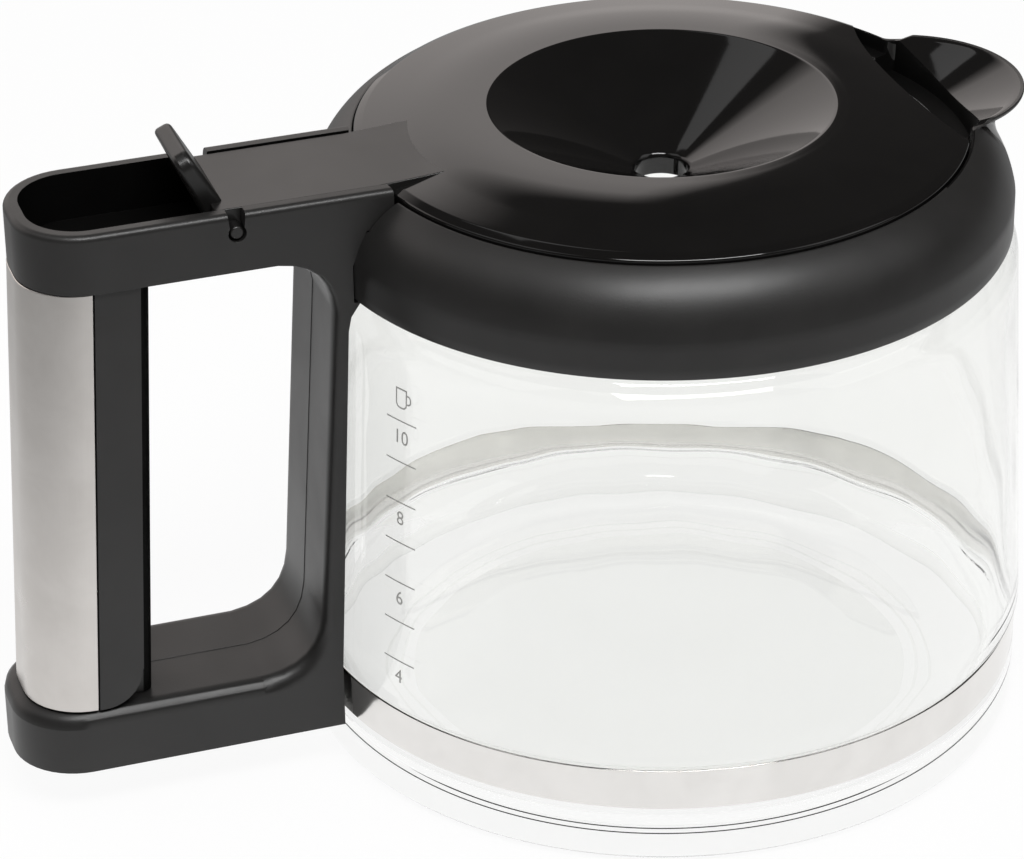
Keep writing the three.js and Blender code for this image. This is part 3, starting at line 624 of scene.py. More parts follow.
band_outline = divided(rounded([
    (BAND_INSIDE, BAND_BOTTOM, 0.15),
    (BAND_OUTSIDE, BAND_BOTTOM, 0.1),
    (BAND_OUTSIDE, BAND_TOP, 0.1),
    (BAND_INSIDE, BAND_TOP, 0.15),
], steps=4), 2.0)
gap_angle = math.asin(BAND_GAP / 2 / BAND_OUTSIDE)
band_turns = np.linspace(gap_angle - math.pi, math.pi - gap_angle, 289)
band_points = rings(band_outline[:, :1], band_outline[:, 1:], band_turns)
band_ring = skin("band_ring", band_points, 40, closed=False)
ear_outline = rounded([
    (1 - BAND_INSIDE, EAR_BOTTOM, 0),
    (1 - BAND_INSIDE, EAR_TOP, 0),
    (EAR_END, EAR_TOP, 1.2),
    (EAR_END, EAR_BOTTOM, 1.2),
])
ear_low = BAND_GAP / 2
ears = [
    prism("ear", ear_outline, ear_low, ear_low + EAR_THICKNESS),
    prism("ear", ear_outline, -ear_low - EAR_THICKNESS, -ear_low),
]
band_mesh = cleaned(merged("steel_band", [band_ring, *ears]), 40)
add_piece("band_strap", band_mesh, polished_steel, "jug", ["steel_band"])

# %% [markdown]
# ## Collar and spout
# The collar is a satin ring over the neck, and the spout is a shallow bowl with a turned-out lip
# that grows from it. On the real part one mould makes both, with soft fillets between them. A
# Boolean of a ring and a bowl would leave a hard line there. So the skin is worked out as rings:
# the radius at each angle is the larger of the ring's and the bowl's, joined by a soft maximum,
# which gives the fillet. The inside of the spout is polished, and the throat behind it gets a
# painted shade: a near-black finish that hardly reflects, for the shade that falls there.

# %% Soft joins
def soft_max(first, second, width):
    share = np.clip(0.5 + 0.5 * (first - second) / width, 0, 1)
    return second + (first - second) * share + width * share * (1 - share)


print("a soft maximum of 3 and 3.2 over 1:", round(float(soft_max(3.0, 3.2, 1.0)), 3))

# %% Collar sizes and curves
COLLAR_RADIUS = 68.0
COLLAR_BOTTOM = 102.7
COLLAR_BEND = 110.0
COLLAR_TOP = 121.8
RIM_RADIUS = 59.8
LEDGE_HEIGHT = 119.2
BORE_RADIUS = 56.0
SOCKET_RADIUS = 59.7
SOCKET_TOP = 114.2
SPOUT_CENTRE = 51.1
LIP_HEIGHT = 122.7
LIP_INSIDE = 21.8
BOWL_FLOOR = 115.6

shoulder_points = [(COLLAR_RADIUS, COLLAR_BEND), (66.36, 117.87), (RIM_RADIUS, COLLAR_TOP)]
shoulder_curve = bezier(shoulder_points, 400)
spout_curve = bezier([(16.47, COLLAR_BEND), (16.6, 116.2), (17.5, 119.6), (22.3, 121.7)], 60)
lip_curve = bezier([(22.3, 121.7), (22.8, 122.5), (22.4, LIP_HEIGHT)], 20)
spout_curve = np.vstack([spout_curve, lip_curve[1:]])
bowl_curve = bezier([(0.0, 115.4), (8.0, 117.4), (15.5, 119.9), (LIP_INSIDE, LIP_HEIGHT)], 60)


def to_spout(angle, reach):
    side = SPOUT_CENTRE * np.sin(angle)
    return SPOUT_CENTRE * np.cos(angle) + np.sqrt(np.maximum(reach**2 - side**2, 0))


def from_spout(angle, radius):
    return np.hypot(radius * np.cos(angle) - SPOUT_CENTRE, radius * np.sin(angle))


print("spout reaches x =", SPOUT_CENTRE + spout_curve[:, 0].max())

# %% Collar outside
SPOUT_FAN = 34
FILLET = 1.8
LIP_REACH = 21.0
LIP_BLEND = 2.4
LIP_START = 116.5
SIDE_HEIGHTS = (103.3, 105.0, 107.0, 108.5)

fan = np.linspace(-SPOUT_FAN, SPOUT_FAN, 273)[:-1]
rest = np.linspace(SPOUT_FAN, 360 - SPOUT_FAN, 241)[:-1]
collar_turns = np.radians(np.concatenate([fan, rest]))
lip = soft_step(0.0, LIP_BLEND, to_spout(collar_turns, LIP_REACH) - RIM_RADIUS)
top_height = COLLAR_TOP + (LIP_HEIGHT - COLLAR_TOP) * lip
climb = 1 - (1 - np.linspace(0, 1, 40)) ** 1.7
picked = shoulder_curve[(climb * (len(shoulder_curve) - 1)).round().astype(int)]
side_rows = np.array([(COLLAR_RADIUS, height) for height in SIDE_HEIGHTS])
outside = np.vstack([side_rows, picked])
lifted = soft_step(LIP_START, COLLAR_TOP, outside[:, 1:])
outside_height = outside[:, 1:] + (top_height - COLLAR_TOP) * lifted
spout_reach = np.interp(outside_height, spout_curve[:, 1], spout_curve[:, 0])
outside_radius = soft_max(outside[:, :1], to_spout(collar_turns, spout_reach), FILLET)
print("collar outside:", outside_radius.shape)

# %% Collar inside
RIM_EDGE = 0.4
LEDGE_WALL = 0.7
BOWL_EDGE = 60.8
BOWL_STEEP = 2.2
BOWL_FILLET = 0.5
DROP_END = 0.12

rim_inside = RIM_RADIUS - RIM_EDGE
start = soft_max(rim_inside, to_spout(collar_turns, LIP_INSIDE), BOWL_FILLET)
edge = np.minimum(BOWL_EDGE, start - LEDGE_WALL - 0.1)
upper_share = np.linspace(0, 1, 24)[:, None] ** 1.3
lower_share = np.linspace(0, 1, 12)[1:, None] ** 2
inside_radius = np.vstack([
    start + (edge - start) * upper_share,
    edge + (BORE_RADIUS - edge) * lower_share,
])
drop = np.vstack([np.zeros_like(upper_share), soft_step(0.0, DROP_END, lower_share)])
drop = drop * soft_step(rim_inside, BOWL_EDGE + LEDGE_WALL, start)
reach = from_spout(collar_turns, inside_radius)
beyond = BOWL_STEEP * np.maximum(reach - LIP_INSIDE, 0)
bowl = np.interp(reach, bowl_curve[:, 0], bowl_curve[:, 1]) + beyond
bowl = bowl + (BOWL_FLOOR - bowl) * drop
rise = soft_step(rim_inside - LEDGE_WALL, rim_inside, inside_radius)
wall = LEDGE_HEIGHT + (top_height - LEDGE_HEIGHT) * rise
inside_height = -soft_max(-bowl, -wall, BOWL_FILLET)
print("collar inside:", inside_radius.shape)

# %% Collar mesh
NOTCH_HALF = 15.5
NOTCH_FLOOR = 116.6

under = np.array([
    (BORE_RADIUS, SOCKET_TOP), (SOCKET_RADIUS, SOCKET_TOP), (SOCKET_RADIUS, 106.4),
    (61.3, 106.4), (61.3, 114.8), (65.6, 111.5), (66.4, 109.5),
    (66.4, COLLAR_BOTTOM), (67.4, COLLAR_BOTTOM), (67.8, COLLAR_BOTTOM + 0.2),
])
under_shape = np.ones_like(collar_turns)
collar_radius = np.vstack([outside_radius, inside_radius, under[:, :1] * under_shape])
collar_height = np.vstack([outside_height, inside_height, under[:, 1:] * under_shape])
collar_mesh = skin("collar", rings(collar_radius, collar_height, collar_turns), 50)
notch_outline = [(-90.0, NOTCH_FLOOR), (-30.0, NOTCH_FLOOR), (-30.0, 130.0), (-90.0, 130.0)]
collar_mesh = cut_from(collar_mesh, prism("notch", notch_outline, -NOTCH_HALF, NOTCH_HALF))
collar_ring = add_piece("collar_ring", collar_mesh, satin_black, "jug", ["collar"])

# %% Inside of the spout
SPOUT_BACK = 40
FACE_ROOM = 0.2


def in_spout(place, normal):
    from_lip = math.hypot(place.x - SPOUT_CENTRE, place.y) - LIP_INSIDE
    within = min(from_lip, math.hypot(place.x, place.y) - rim_inside)
    above = place.z > SOCKET_TOP + FACE_ROOM and normal.z > 0.05
    return place.x > SPOUT_BACK and within < FACE_ROOM and above


def in_throat(place, normal):
    return in_spout(place, normal) and math.hypot(place.x, place.y) < BOWL_EDGE


second_finish(collar_ring, gloss_black, in_spout)
# Painted shade: the throat gets the near-black finish that hardly reflects, for the shade there.
second_finish(collar_ring, dull_black, in_throat)

# %% [markdown]
# ## Lid
# The lid is one glossy moulding: a disc that dips into a funnel with a drip tube, an arm back to
# the hinge and a tab for the thumb. The disc is turned from its cross-section and the pour opening
# is cut from it, because that edge is crisp on the real lid. The arm and the tab are prisms with
# bevelled edges that grow out of the disc, and the arm rises a little to meet its dome. The mould
# is less polished there, so they have a softer gloss.

# %% Lid disc
LID_RADIUS = 59.0
LID_EDGE = 119.5
POUR_CENTRE = 132.9
POUR_RADIUS = 86.5

lid_dome = bezier([(34.6, 126.69), (42.2, 126.65), (46.0, 125.5), (50.5, 124.62)], 24)
lid_under = rounded([
    (50.5, 124.62, 0),
    (57.2, 123.32, 1.5),
    (LID_RADIUS, 122.5, 0.6),
    (LID_RADIUS, LID_EDGE, 0.4),
    (55.5, LID_EDGE, 0.3),
    (55.5, 114.6, 0.5),
    (53.7, 114.6, 0.5),
    (53.7, 120.2, 1.0),
    (37.4, 124.3, 6.0),
    (33.7, 124.25, 3.0),
    (7.4, 111.5, 1.0),
    (7.4, 108.7, 0.4),
    (5.2, 108.7, 0.4),
    (5.2, 112.9, 1.2),
    (33.3, 126.73, 1.5),
    (34.6, 126.69, 0),
], steps=8)
lid_outline = divided(np.vstack([lid_dome, lid_under[1:-1]]), 2.0)
lid_disc = skin("lid_disc", rings(lid_outline[:, :1], lid_outline[:, 1:], turns_of(256)))
pour_outline = circle_points(POUR_CENTRE, 0.0, POUR_RADIUS, turns_of(480))
lid_disc = cut_from(lid_disc, prism("pour", pour_outline, 100.0, 135.0, axis="Z"))
print("lid disc:", len(lid_disc.polygons), "faces")

# %% Lid arm, tab and piece
HINGE_X = -88.2
HINGE_HEIGHT = 120.5
BOSS_RADIUS = 3.4
ARM_HALF = 12.0
ARM_TOP = 124.2
ARM_FRONT = (-44.0, 125.2)
ARM_FRONT_UNDERSIDE = (-44.0, 122.95)
ARM_UNDERSIDE = 121.3
TAB_HALF = 8.8
TAB_HEIGHT = 12.2
TAB_THICKNESS = 3.3
TAB_LEAN = math.radians(24)
TAB_SETBACK = 3.3
TAB_ROOT = 1.1
TAB_SUNK = 1.4

boss_turns = np.radians(np.linspace(170, 374, 18))
arm_outline = [
    ARM_FRONT,
    (-60.0, ARM_TOP),
    (HINGE_X - BOSS_RADIUS + 0.1, ARM_TOP),
    *circle_points(HINGE_X, HINGE_HEIGHT, BOSS_RADIUS, boss_turns),
    (-LID_RADIUS, ARM_UNDERSIDE),
    ARM_FRONT_UNDERSIDE,
]
lid_arm = bevelled(prism("lid_arm", arm_outline, -ARM_HALF, ARM_HALF), 0.25, 3)
tab_outline = rounded([
    (-TAB_HALF, -BOSS_RADIUS / 2, 0),
    (TAB_HALF, -BOSS_RADIUS / 2, 0),
    (TAB_HALF, TAB_HEIGHT, 3.0),
    (-TAB_HALF, TAB_HEIGHT, 3.0),
])
lid_tab = prism("lid_tab", tab_outline, -TAB_THICKNESS / 2, TAB_THICKNESS / 2, axis="Z")
for vertex in lid_tab.vertices:
    if vertex.co.z > 0:
        vertex.co.z += TAB_ROOT * (MM - vertex.co.y / TAB_HEIGHT)
lid_tab = bevelled(lid_tab, 0.9, 4)
tab_place = Matrix((
    (0, -math.sin(TAB_LEAN), math.cos(TAB_LEAN), (HINGE_X - TAB_SETBACK) * MM),
    (1, 0, 0, 0),
    (0, math.cos(TAB_LEAN), math.sin(TAB_LEAN), (ARM_TOP - TAB_SUNK) * MM),
    (0, 0, 0, 1),
))
lid_tab.transform(tab_place)
add_piece("lid_moulding", lid_disc, gloss_black, "lid", ["lid"])
add_piece("lid_arm", lid_arm, lever_black, "lid")
add_piece("lid_tab", lid_tab, lever_black, "lid")

# %% [markdown]
# ## Handle and grip
# The handle's frame, the grip's core and its steel skin already have their true forms as solids.
# What a solid lacks is the small round that every moulded or deburred edge has, and that catches
# the light. So each is a merged copy of the solid with its flat faces joined again and a Bevel on
# every edge that turns by more than 30 degrees. For the frame the limit is 36 degrees, so that the
# facets of its foot shade as one round. The outer top edge of its arm is rounder.

# %% Softened copies
ARM_MIDDLE = (-118.0, -70.0)
ARM_TOP_EDGE = 124.0
ARM_ROUND = 1.3
EDGE_TURN = 30
FLAT_TURN = 0.5
SOLID_NEAR = 0.005 * MM


def outward(place, normal):
    near = min(max(place.x, ARM_MIDDLE[0]), ARM_MIDDLE[1])
    return normal.x * (place.x - near) + normal.y * place.y


def on_top_outside(edge):
    middle = (edge.verts[0].co + edge.verts[1].co) / 2 / MM
    if middle.z < ARM_TOP_EDGE or middle.x > ARM_MIDDLE[1] or len(edge.link_faces) != 2:
        return False
    side, top = sorted((face.normal for face in edge.link_faces), key=lambda normal: normal.z)
    return top.z > 0.9 and abs(side.z) < 0.3 and outward(middle, side) > 0


def softened(node, width, segments=3, rounder=None, turn=EDGE_TURN):
    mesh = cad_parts[node].data.copy()
    mesh.name = node + "_soft"
    work = bmesh.new()
    work.from_mesh(mesh)
    bmesh.ops.remove_doubles(work, verts=work.verts, dist=SOLID_NEAR)
    flat = math.radians(FLAT_TURN)
    bmesh.ops.dissolve_limit(work, angle_limit=flat, verts=work.verts, edges=work.edges)
    if rounder:
        work.normal_update()
        edges = [edge for edge in work.edges if rounder(edge)]
        bmesh.ops.bevel(
            work, geom=edges, offset=ARM_ROUND * MM, offset_type="OFFSET", segments=6,
            profile=0.5, affect="EDGES", clamp_overlap=True,
        )
        print(node, "has", len(edges), "edges rounded by", ARM_ROUND)
    work.to_mesh(mesh)
    work.free()
    cleaned(mesh, turn)
    return bevelled(mesh, width, segments, turn)


print("softening helpers ready")

# %% Handle and grip
FRAME_TURN = 36
TROUGH_LOW = Vector((-125.1, -12.5, 113.5))
TROUGH_HIGH = Vector((-84.0, 12.5, 123.9))
FINGER_RIDGE = -110.95


def in_trough(place, normal):
    within = all(low < value < high for low, value, high in zip(TROUGH_LOW, place, TROUGH_HIGH))
    return within and outward(place, normal) < 0.1


handle_mesh = softened("handle_frame", 0.5, rounder=on_top_outside, turn=FRAME_TURN)
handle_body = add_piece(
    "handle_body", handle_mesh, satin_black, "jug", ["handle_frame"]
)
# Painted shade: the trough under the lid's arm gets the near-black finish, for the shade in it.
second_finish(handle_body, dull_black, in_trough)
grip_upright = add_piece(
    "grip_upright", softened("grip_core", 0.35), satin_black, "jug", ["grip_core"]
)
# Painted shade: the finger ridge, set back between the grip's cheeks, gets the same finish.
second_finish(grip_upright, dull_black, lambda place, normal: place.x > FINGER_RIDGE)
grip_mesh = softened("grip_skin", 0.15, 2)
add_piece("grip_sheet", grip_mesh, brushed_steel, "jug", ["grip_skin"])

# %% Pin, nut and seal
pin_mesh = softened("hinge_pin", 0.25, 2)
nut_mesh = softened("band_nut", 0.2, 2)
add_piece("hinge_rod", pin_mesh, lever_black, "lid", ["hinge_pin"])
add_piece("clamp_nut", nut_mesh, zinc_steel, "jug", ["band_nut"])
seal_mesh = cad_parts["neck_seal"].data
seal_mesh.materials.clear()
seal_mesh.materials.append(seal_rubber)
print("the seal keeps its solid, with", seal_rubber.name)

# %% [markdown]
# ## Geometry Nodes helper
# A Geometry Nodes tree works on an object through a modifier. Its inputs are set by the identifier
# of their socket, and the result is taken as a plain mesh. This helper does both, so that each tree
# below stays a short list of nodes.

# %% Run a tree
def grown(name, mesh, tree, values):
    made = helper_object(mesh)
    modifier = made.modifiers.new("grow", "NODES")
    modifier.node_group = tree
    for item in tree.interface.items_tree:
        if item.in_out == "INPUT" and item.name in values:
            modifier[item.identifier] = values[item.name]
    return baked(made, name)


def math_node(tree, operation, first, second):
    node = add_node(tree, "ShaderNodeMath", operation=operation)
    for index, source in enumerate((first, second)):
        if isinstance(source, (int, float)):
            node.inputs[index].default_value = source
        elif source is not None:
            tree.links.new(source, node.inputs[index])
    return node.outputs[0]


print("tree runner ready")

# %% [markdown]
# ## Screws
# Five pan-head screws hold the carafe together: two in the handle's tongue, two in the grip and one
# that draws the band tight. They are one shape that repeats. Geometry Nodes put a head and a shank
# on a point for each, which carries its direction and its length as attributes. Only the head, with
# its cross recess, is given as a mesh.

# %% Screw head
HEAD_RADIUS = 2.8
HEAD_HEIGHT = 1.5
SHANK_RADIUS = 1.4
RECESS_LENGTH = 3.0
RECESS_WIDTH = 0.75
RECESS_DEPTH = 0.85

head_outline = rounded([
    (0, 0, 0),
    (HEAD_RADIUS, 0, 0.12),
    (HEAD_RADIUS, HEAD_HEIGHT, 1.1),
    (0, HEAD_HEIGHT, 0),
], 5)
head_mesh = skin("screw_head", rings(head_outline[:, :1], head_outline[:, 1:], turns_of(40)))
for long, wide in ((RECESS_LENGTH / 2, RECESS_WIDTH / 2), (RECESS_WIDTH / 2, RECESS_LENGTH / 2)):
    slot = [(-long, -wide), (long, -wide), (long, wide), (-long, wide)]
    head_mesh = cut_from(head_mesh, prism("slot", slot, HEAD_HEIGHT - RECESS_DEPTH, 3.0, axis="Z"))
print("screw head:", len(head_mesh.polygons), "faces")

# %% Screw points
screw_nodes = {
    "handle_screw_front": (0, 0, 0),
    "handle_screw_rear": (0, 0, 0),
    "grip_screw_upper": (0, 0, 0),
    "grip_screw_lower": (math.pi, 0, 0),
    "band_screw": (-math.pi / 2, 0, 0),
}
screw_seats, screw_lengths = [], []
for node, turn in screw_nodes.items():
    low, high = (Vector(corner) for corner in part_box(node))
    axis = (Matrix.Rotation(turn[0], 3, "X") @ Vector((0, 0, 1))).normalized()
    span = abs((high - low).dot(axis))
    screw_seats.append((low + high) / 2 + axis * (span / 2 - HEAD_HEIGHT * MM))
    screw_lengths.append(span - HEAD_HEIGHT * MM)
screw_points = bpy.data.meshes.new("screw_points")
screw_points.from_pydata([tuple(seat) for seat in screw_seats], [], [])
turn_values = screw_points.attributes.new("turn", "FLOAT_VECTOR", "POINT")
turn_values.data.foreach_set("vector", [value for turn in screw_nodes.values() for value in turn])
length_values = screw_points.attributes.new("length", "FLOAT", "POINT")
length_values.data.foreach_set("value", screw_lengths)
print("screw lengths in mm:", [round(length / MM, 1) for length in screw_lengths])

# %% Screw tree
screw_tree, entry, result = new_group(
    "screw_set",
    {"Geometry": SHAPE, "Head": "NodeSocketObject", "Shank Radius": 0.001},
    {"Geometry": SHAPE},
    "GeometryNodeTree",
)
NAMED = "GeometryNodeInputNamedAttribute"
turn = add_node(screw_tree, NAMED, {"Name": "turn"}, data_type="FLOAT_VECTOR")
length = add_node(screw_tree, NAMED, {"Name": "length"}, data_type="FLOAT")
turning = add_node(screw_tree, "FunctionNodeEulerToRotation")
head = add_node(screw_tree, "GeometryNodeObjectInfo")
heads = add_node(screw_tree, "GeometryNodeInstanceOnPoints")
rod = add_node(screw_tree, "GeometryNodeMeshCylinder", {"Vertices": 20, "Depth": 1.0})
lowered = add_node(screw_tree, "GeometryNodeTransform", {"Translation": (0, 0, -0.5)})
stretch = add_node(screw_tree, "ShaderNodeCombineXYZ", {"X": 1.0, "Y": 1.0})
shanks = add_node(screw_tree, "GeometryNodeInstanceOnPoints")
together = add_node(screw_tree, "GeometryNodeJoinGeometry")
real = add_node(screw_tree, "GeometryNodeRealizeInstances")
coat = add_node(screw_tree, "GeometryNodeSetMaterial", {"Material": zinc_steel})
join_all(screw_tree, [
    (turn, "Attribute", turning, "Euler"),
    (entry, "Head", head, "Object"),
    (entry, "Geometry", heads, "Points"),
    (head, "Geometry", heads, "Instance"),
    (turning, "Rotation", heads, "Rotation"),
    (entry, "Shank Radius", rod, "Radius"),
    (rod, "Mesh", lowered, "Geometry"),
    (length, "Attribute", stretch, "Z"),
    (entry, "Geometry", shanks, "Points"),
    (lowered, "Geometry", shanks, "Instance"),
    (turning, "Rotation", shanks, "Rotation"),
    (stretch, "Vector", shanks, "Scale"),
    (heads, "Instances", together, "Geometry"),
    (shanks, "Instances", together, "Geometry"),
    (together, "Geometry", real, "Geometry"),
    (real, "Geometry", coat, "Geometry"),
    (coat, "Geometry", result, "Geometry"),
])
head_object = helper_object(head_mesh)
screw_values = {"Head": head_object, "Shank Radius": SHANK_RADIUS * MM}
screw_mesh = grown("screws", screw_points, screw_tree, screw_values)
bpy.data.objects.remove(head_object)
add_piece("screw_set", cleaned(screw_mesh), zinc_steel, "jug", list(screw_nodes))

# %% [markdown]
# ## Cup scale
# A plain scale is printed on the glass: a tick for each cup from four to ten, numbers at the even
# ones and a small cup. The print is drawn flat first, with its width along x and its height along
# y. Geometry Nodes add the ticks and then bend everything round the jug, whose radius shrinks with
# height.

# %% Flat shapes
NUMBER_SIZE = 4.1


def flat_text(body, height):
    curve = bpy.data.curves.new("number", "FONT")
    curve.body = body
    curve.size = NUMBER_SIZE * MM
    curve.align_x = "CENTER"
    curve.align_y = "CENTER"
    made = helper_object(curve)
    mesh = baked(made, "number_" + body)
    mesh.transform(Matrix.Translation((0, height * MM, 0)))
    return mesh


def ribbon(name, outer, inner, closed, height):
    count = len(outer)
    points = [(x * MM, (y + height) * MM, 0) for x, y in [*outer, *inner]]
    spans = range(count if closed else count - 1)
    faces = [(i, (i + 1) % count, (i + 1) % count + count, i + count) for i in spans]
    mesh = bpy.data.meshes.new(name)
    mesh.from_pydata(points, [], faces)
    return mesh


print("flat shapes ready")

# %% Flat numbers and cup
TICK_COUNT = 7
TICK_FIRST = 33.0
TICK_SPACING = 8.6
NUMBER_DROP = 3.5
CUP_RISE = 4.7
STROKE = 0.33
CUP_HALF = 1.55
CUP_HALF_HEIGHT = 2.1
CUP_ROUND = 1.2
CUP_EDGE = 0.05
CUP_EAR_SIDE = 2.7
CUP_EAR_LOW = 0.9
CUP_EAR_HIGH = 1.2
CUP_EAR_ROUND = 0.9


def cup_wall(inset):
    half, high = CUP_HALF - inset, CUP_HALF_HEIGHT - inset
    bend = CUP_ROUND - inset
    return rounded([
        (-half, -high, bend),
        (half, -high, bend),
        (half, high, CUP_EDGE),
        (-half, high, CUP_EDGE),
    ])


def cup_ear(inset):
    side, bend = CUP_EAR_SIDE - inset, CUP_EAR_ROUND - inset
    low, high = inset - CUP_EAR_LOW, CUP_EAR_HIGH - inset
    return rounded([
        (CUP_HALF, low, 0),
        (side, low, bend),
        (side, high, bend),
        (CUP_HALF, high, 0),
    ])


cup_height = TICK_FIRST + TICK_SPACING * (TICK_COUNT - 1) + CUP_RISE
flat_marks = [
    ribbon("cup", cup_wall(0), cup_wall(STROKE), True, cup_height),
    ribbon("cup_ear", cup_ear(0), cup_ear(STROKE), False, cup_height),
]
for step, body in ((0, "4"), (2, "6"), (4, "8"), (6, "10")):
    flat_marks.append(flat_text(body, TICK_FIRST + TICK_SPACING * step - NUMBER_DROP))
flat_print = merged("flat_print", flat_marks)
print("flat print:", len(flat_print.polygons), "faces")

# %% Scale tree
scale_tree, entry, result = new_group(
    "cup_scale",
    {
        "Geometry": SHAPE, "Ticks": 7, "First Height": 0.03, "Spacing": 0.009,
        "Tick Length": 0.008, "Stroke": 0.0004, "Middle Angle": 3.6,
        "Waist Radius": 0.07, "Waist Height": 0.02, "Wall Slope": -0.05,
    },
    {"Geometry": SHAPE},
    "GeometryNodeTree",
)
first_point = add_node(scale_tree, "ShaderNodeCombineXYZ")
next_point = add_node(scale_tree, "ShaderNodeCombineXYZ")
ladder = add_node(scale_tree, "GeometryNodeMeshLine", mode="OFFSET")
tick = add_node(scale_tree, "GeometryNodeMeshGrid", {"Vertices X": 13, "Vertices Y": 2})
ticks = add_node(scale_tree, "GeometryNodeInstanceOnPoints")
real = add_node(scale_tree, "GeometryNodeRealizeInstances")
together = add_node(scale_tree, "GeometryNodeJoinGeometry")
flat_place = add_node(scale_tree, "GeometryNodeInputPosition")
parts = add_node(scale_tree, "ShaderNodeSeparateXYZ")
bent = add_node(scale_tree, "GeometryNodeSetPosition")
round_place = add_node(scale_tree, "ShaderNodeCombineXYZ")
coat = add_node(scale_tree, "GeometryNodeSetMaterial", {"Material": scale_print})
above = math_node(scale_tree, "SUBTRACT", parts.outputs["Y"], entry.outputs["Waist Height"])
shrink = math_node(scale_tree, "MULTIPLY", above, entry.outputs["Wall Slope"])
radius = math_node(scale_tree, "ADD", shrink, entry.outputs["Waist Radius"])
along = math_node(scale_tree, "DIVIDE", parts.outputs["X"], entry.outputs["Waist Radius"])
angle = math_node(scale_tree, "ADD", along, entry.outputs["Middle Angle"])
round_x = math_node(scale_tree, "MULTIPLY", radius, math_node(scale_tree, "COSINE", angle, None))
round_y = math_node(scale_tree, "MULTIPLY", radius, math_node(scale_tree, "SINE", angle, None))
print("scale tree:", len(scale_tree.nodes), "nodes")

# %% Scale links
join_all(scale_tree, [
    (entry, "First Height", first_point, "Y"),
    (entry, "Spacing", next_point, "Y"),
    (entry, "Ticks", ladder, "Count"),
    (first_point, "Vector", ladder, "Start Location"),
    (next_point, "Vector", ladder, "Offset"),
    (entry, "Tick Length", tick, "Size X"),
    (entry, "Stroke", tick, "Size Y"),
    (ladder, "Mesh", ticks, "Points"),
    (tick, "Mesh", ticks, "Instance"),
    (entry, "Geometry", together, "Geometry"),
    (ticks, "Instances", together, "Geometry"),
    (together, "Geometry", real, "Geometry"),
    (flat_place, "Position", parts, "Vector"),
])
scale_tree.links.new(round_x, round_place.inputs["X"])
scale_tree.links.new(round_y, round_place.inputs["Y"])
join_all(scale_tree, [
    (parts, "Y", round_place, "Z"),
    (real, "Geometry", bent, "Geometry"),
    (round_place, "Vector", bent, "Position"),
    (bent, "Geometry", coat, "Geometry"),
    (coat, "Geometry", result, "Geometry"),
])
print("scale tree:", len(scale_tree.links), "links")

# %% Print on the glass
PRINT_LIFT = 0.03
PRINT_THICKNESS = 0.03
TICK_LENGTH = 8.2
TICK_STROKE = 0.28
MARK_ANGLE = 206.25

print_mesh = grown("cup_marks", flat_print, scale_tree, {
    "Ticks": TICK_COUNT, "First Height": TICK_FIRST * MM, "Spacing": TICK_SPACING * MM,
    "Tick Length": TICK_LENGTH * MM, "Stroke": TICK_STROKE * MM,
    "Middle Angle": math.radians(MARK_ANGLE), "Wall Slope": wall_slope,
    "Waist Radius": (WAIST_RADIUS + PRINT_LIFT) * MM, "Waist Height": WAIST_HEIGHT * MM,
})
print_body = helper_object(print_mesh)
layer = print_body.modifiers.new("layer", "SOLIDIFY")
layer.thickness = PRINT_THICKNESS * MM
layer.offset = 1.0
add_piece("cup_scale", baked(print_body, "cup_scale"), scale_print, "jug")

# %% [markdown]
# ## Parting seam
# The two halves of the handle's mould leave a fine seam along the middle of the window. To lie on
# the surface, the seam's path is taken from the handle itself: a plane through the middle cuts a
# copy of its mesh, and the cut edges that look into the window are the path. Geometry Nodes give it
# a small round section.

# %% Seam path
WINDOW_LOW = Vector((-108.0, 0.0, 20.0)) * MM
WINDOW_HIGH = Vector((-64.0, 0.0, 114.0)) * MM
SEAM_NEAR = 0.001 * MM

work = bmesh.new()
work.from_mesh(handle_body.data)
window_middle = (WINDOW_LOW + WINDOW_HIGH) / 2
whole = [*work.verts, *work.edges, *work.faces]
cut = bmesh.ops.bisect_plane(work, geom=whole, plane_co=(0, 0, 0), plane_no=(0, 1, 0))
seam_edges = []
for edge in (part for part in cut["geom_cut"] if isinstance(part, bmesh.types.BMEdge)):
    middle = (edge.verts[0].co + edge.verts[1].co) / 2
    inside = WINDOW_LOW.x < middle.x < WINDOW_HIGH.x and WINDOW_LOW.z < middle.z < WINDOW_HIGH.z
    if inside and edge.link_faces and edge.link_faces[0].normal.dot(window_middle - middle) > 0:
        seam_edges.append([tuple(vertex.co) for vertex in edge.verts])
work.free()
seam_line = bpy.data.meshes.new("seam_line")
seam_points = [point for ends in seam_edges for point in ends]
seam_links = [(2 * i, 2 * i + 1) for i in range(len(seam_edges))]
seam_line.from_pydata(seam_points, seam_links, [])
work = bmesh.new()
work.from_mesh(seam_line)
bmesh.ops.remove_doubles(work, verts=work.verts, dist=SEAM_NEAR)
work.to_mesh(seam_line)
work.free()
print("seam path:", len(seam_line.edges), "edges")

# %% Seam
SEAM_RADIUS = 0.12

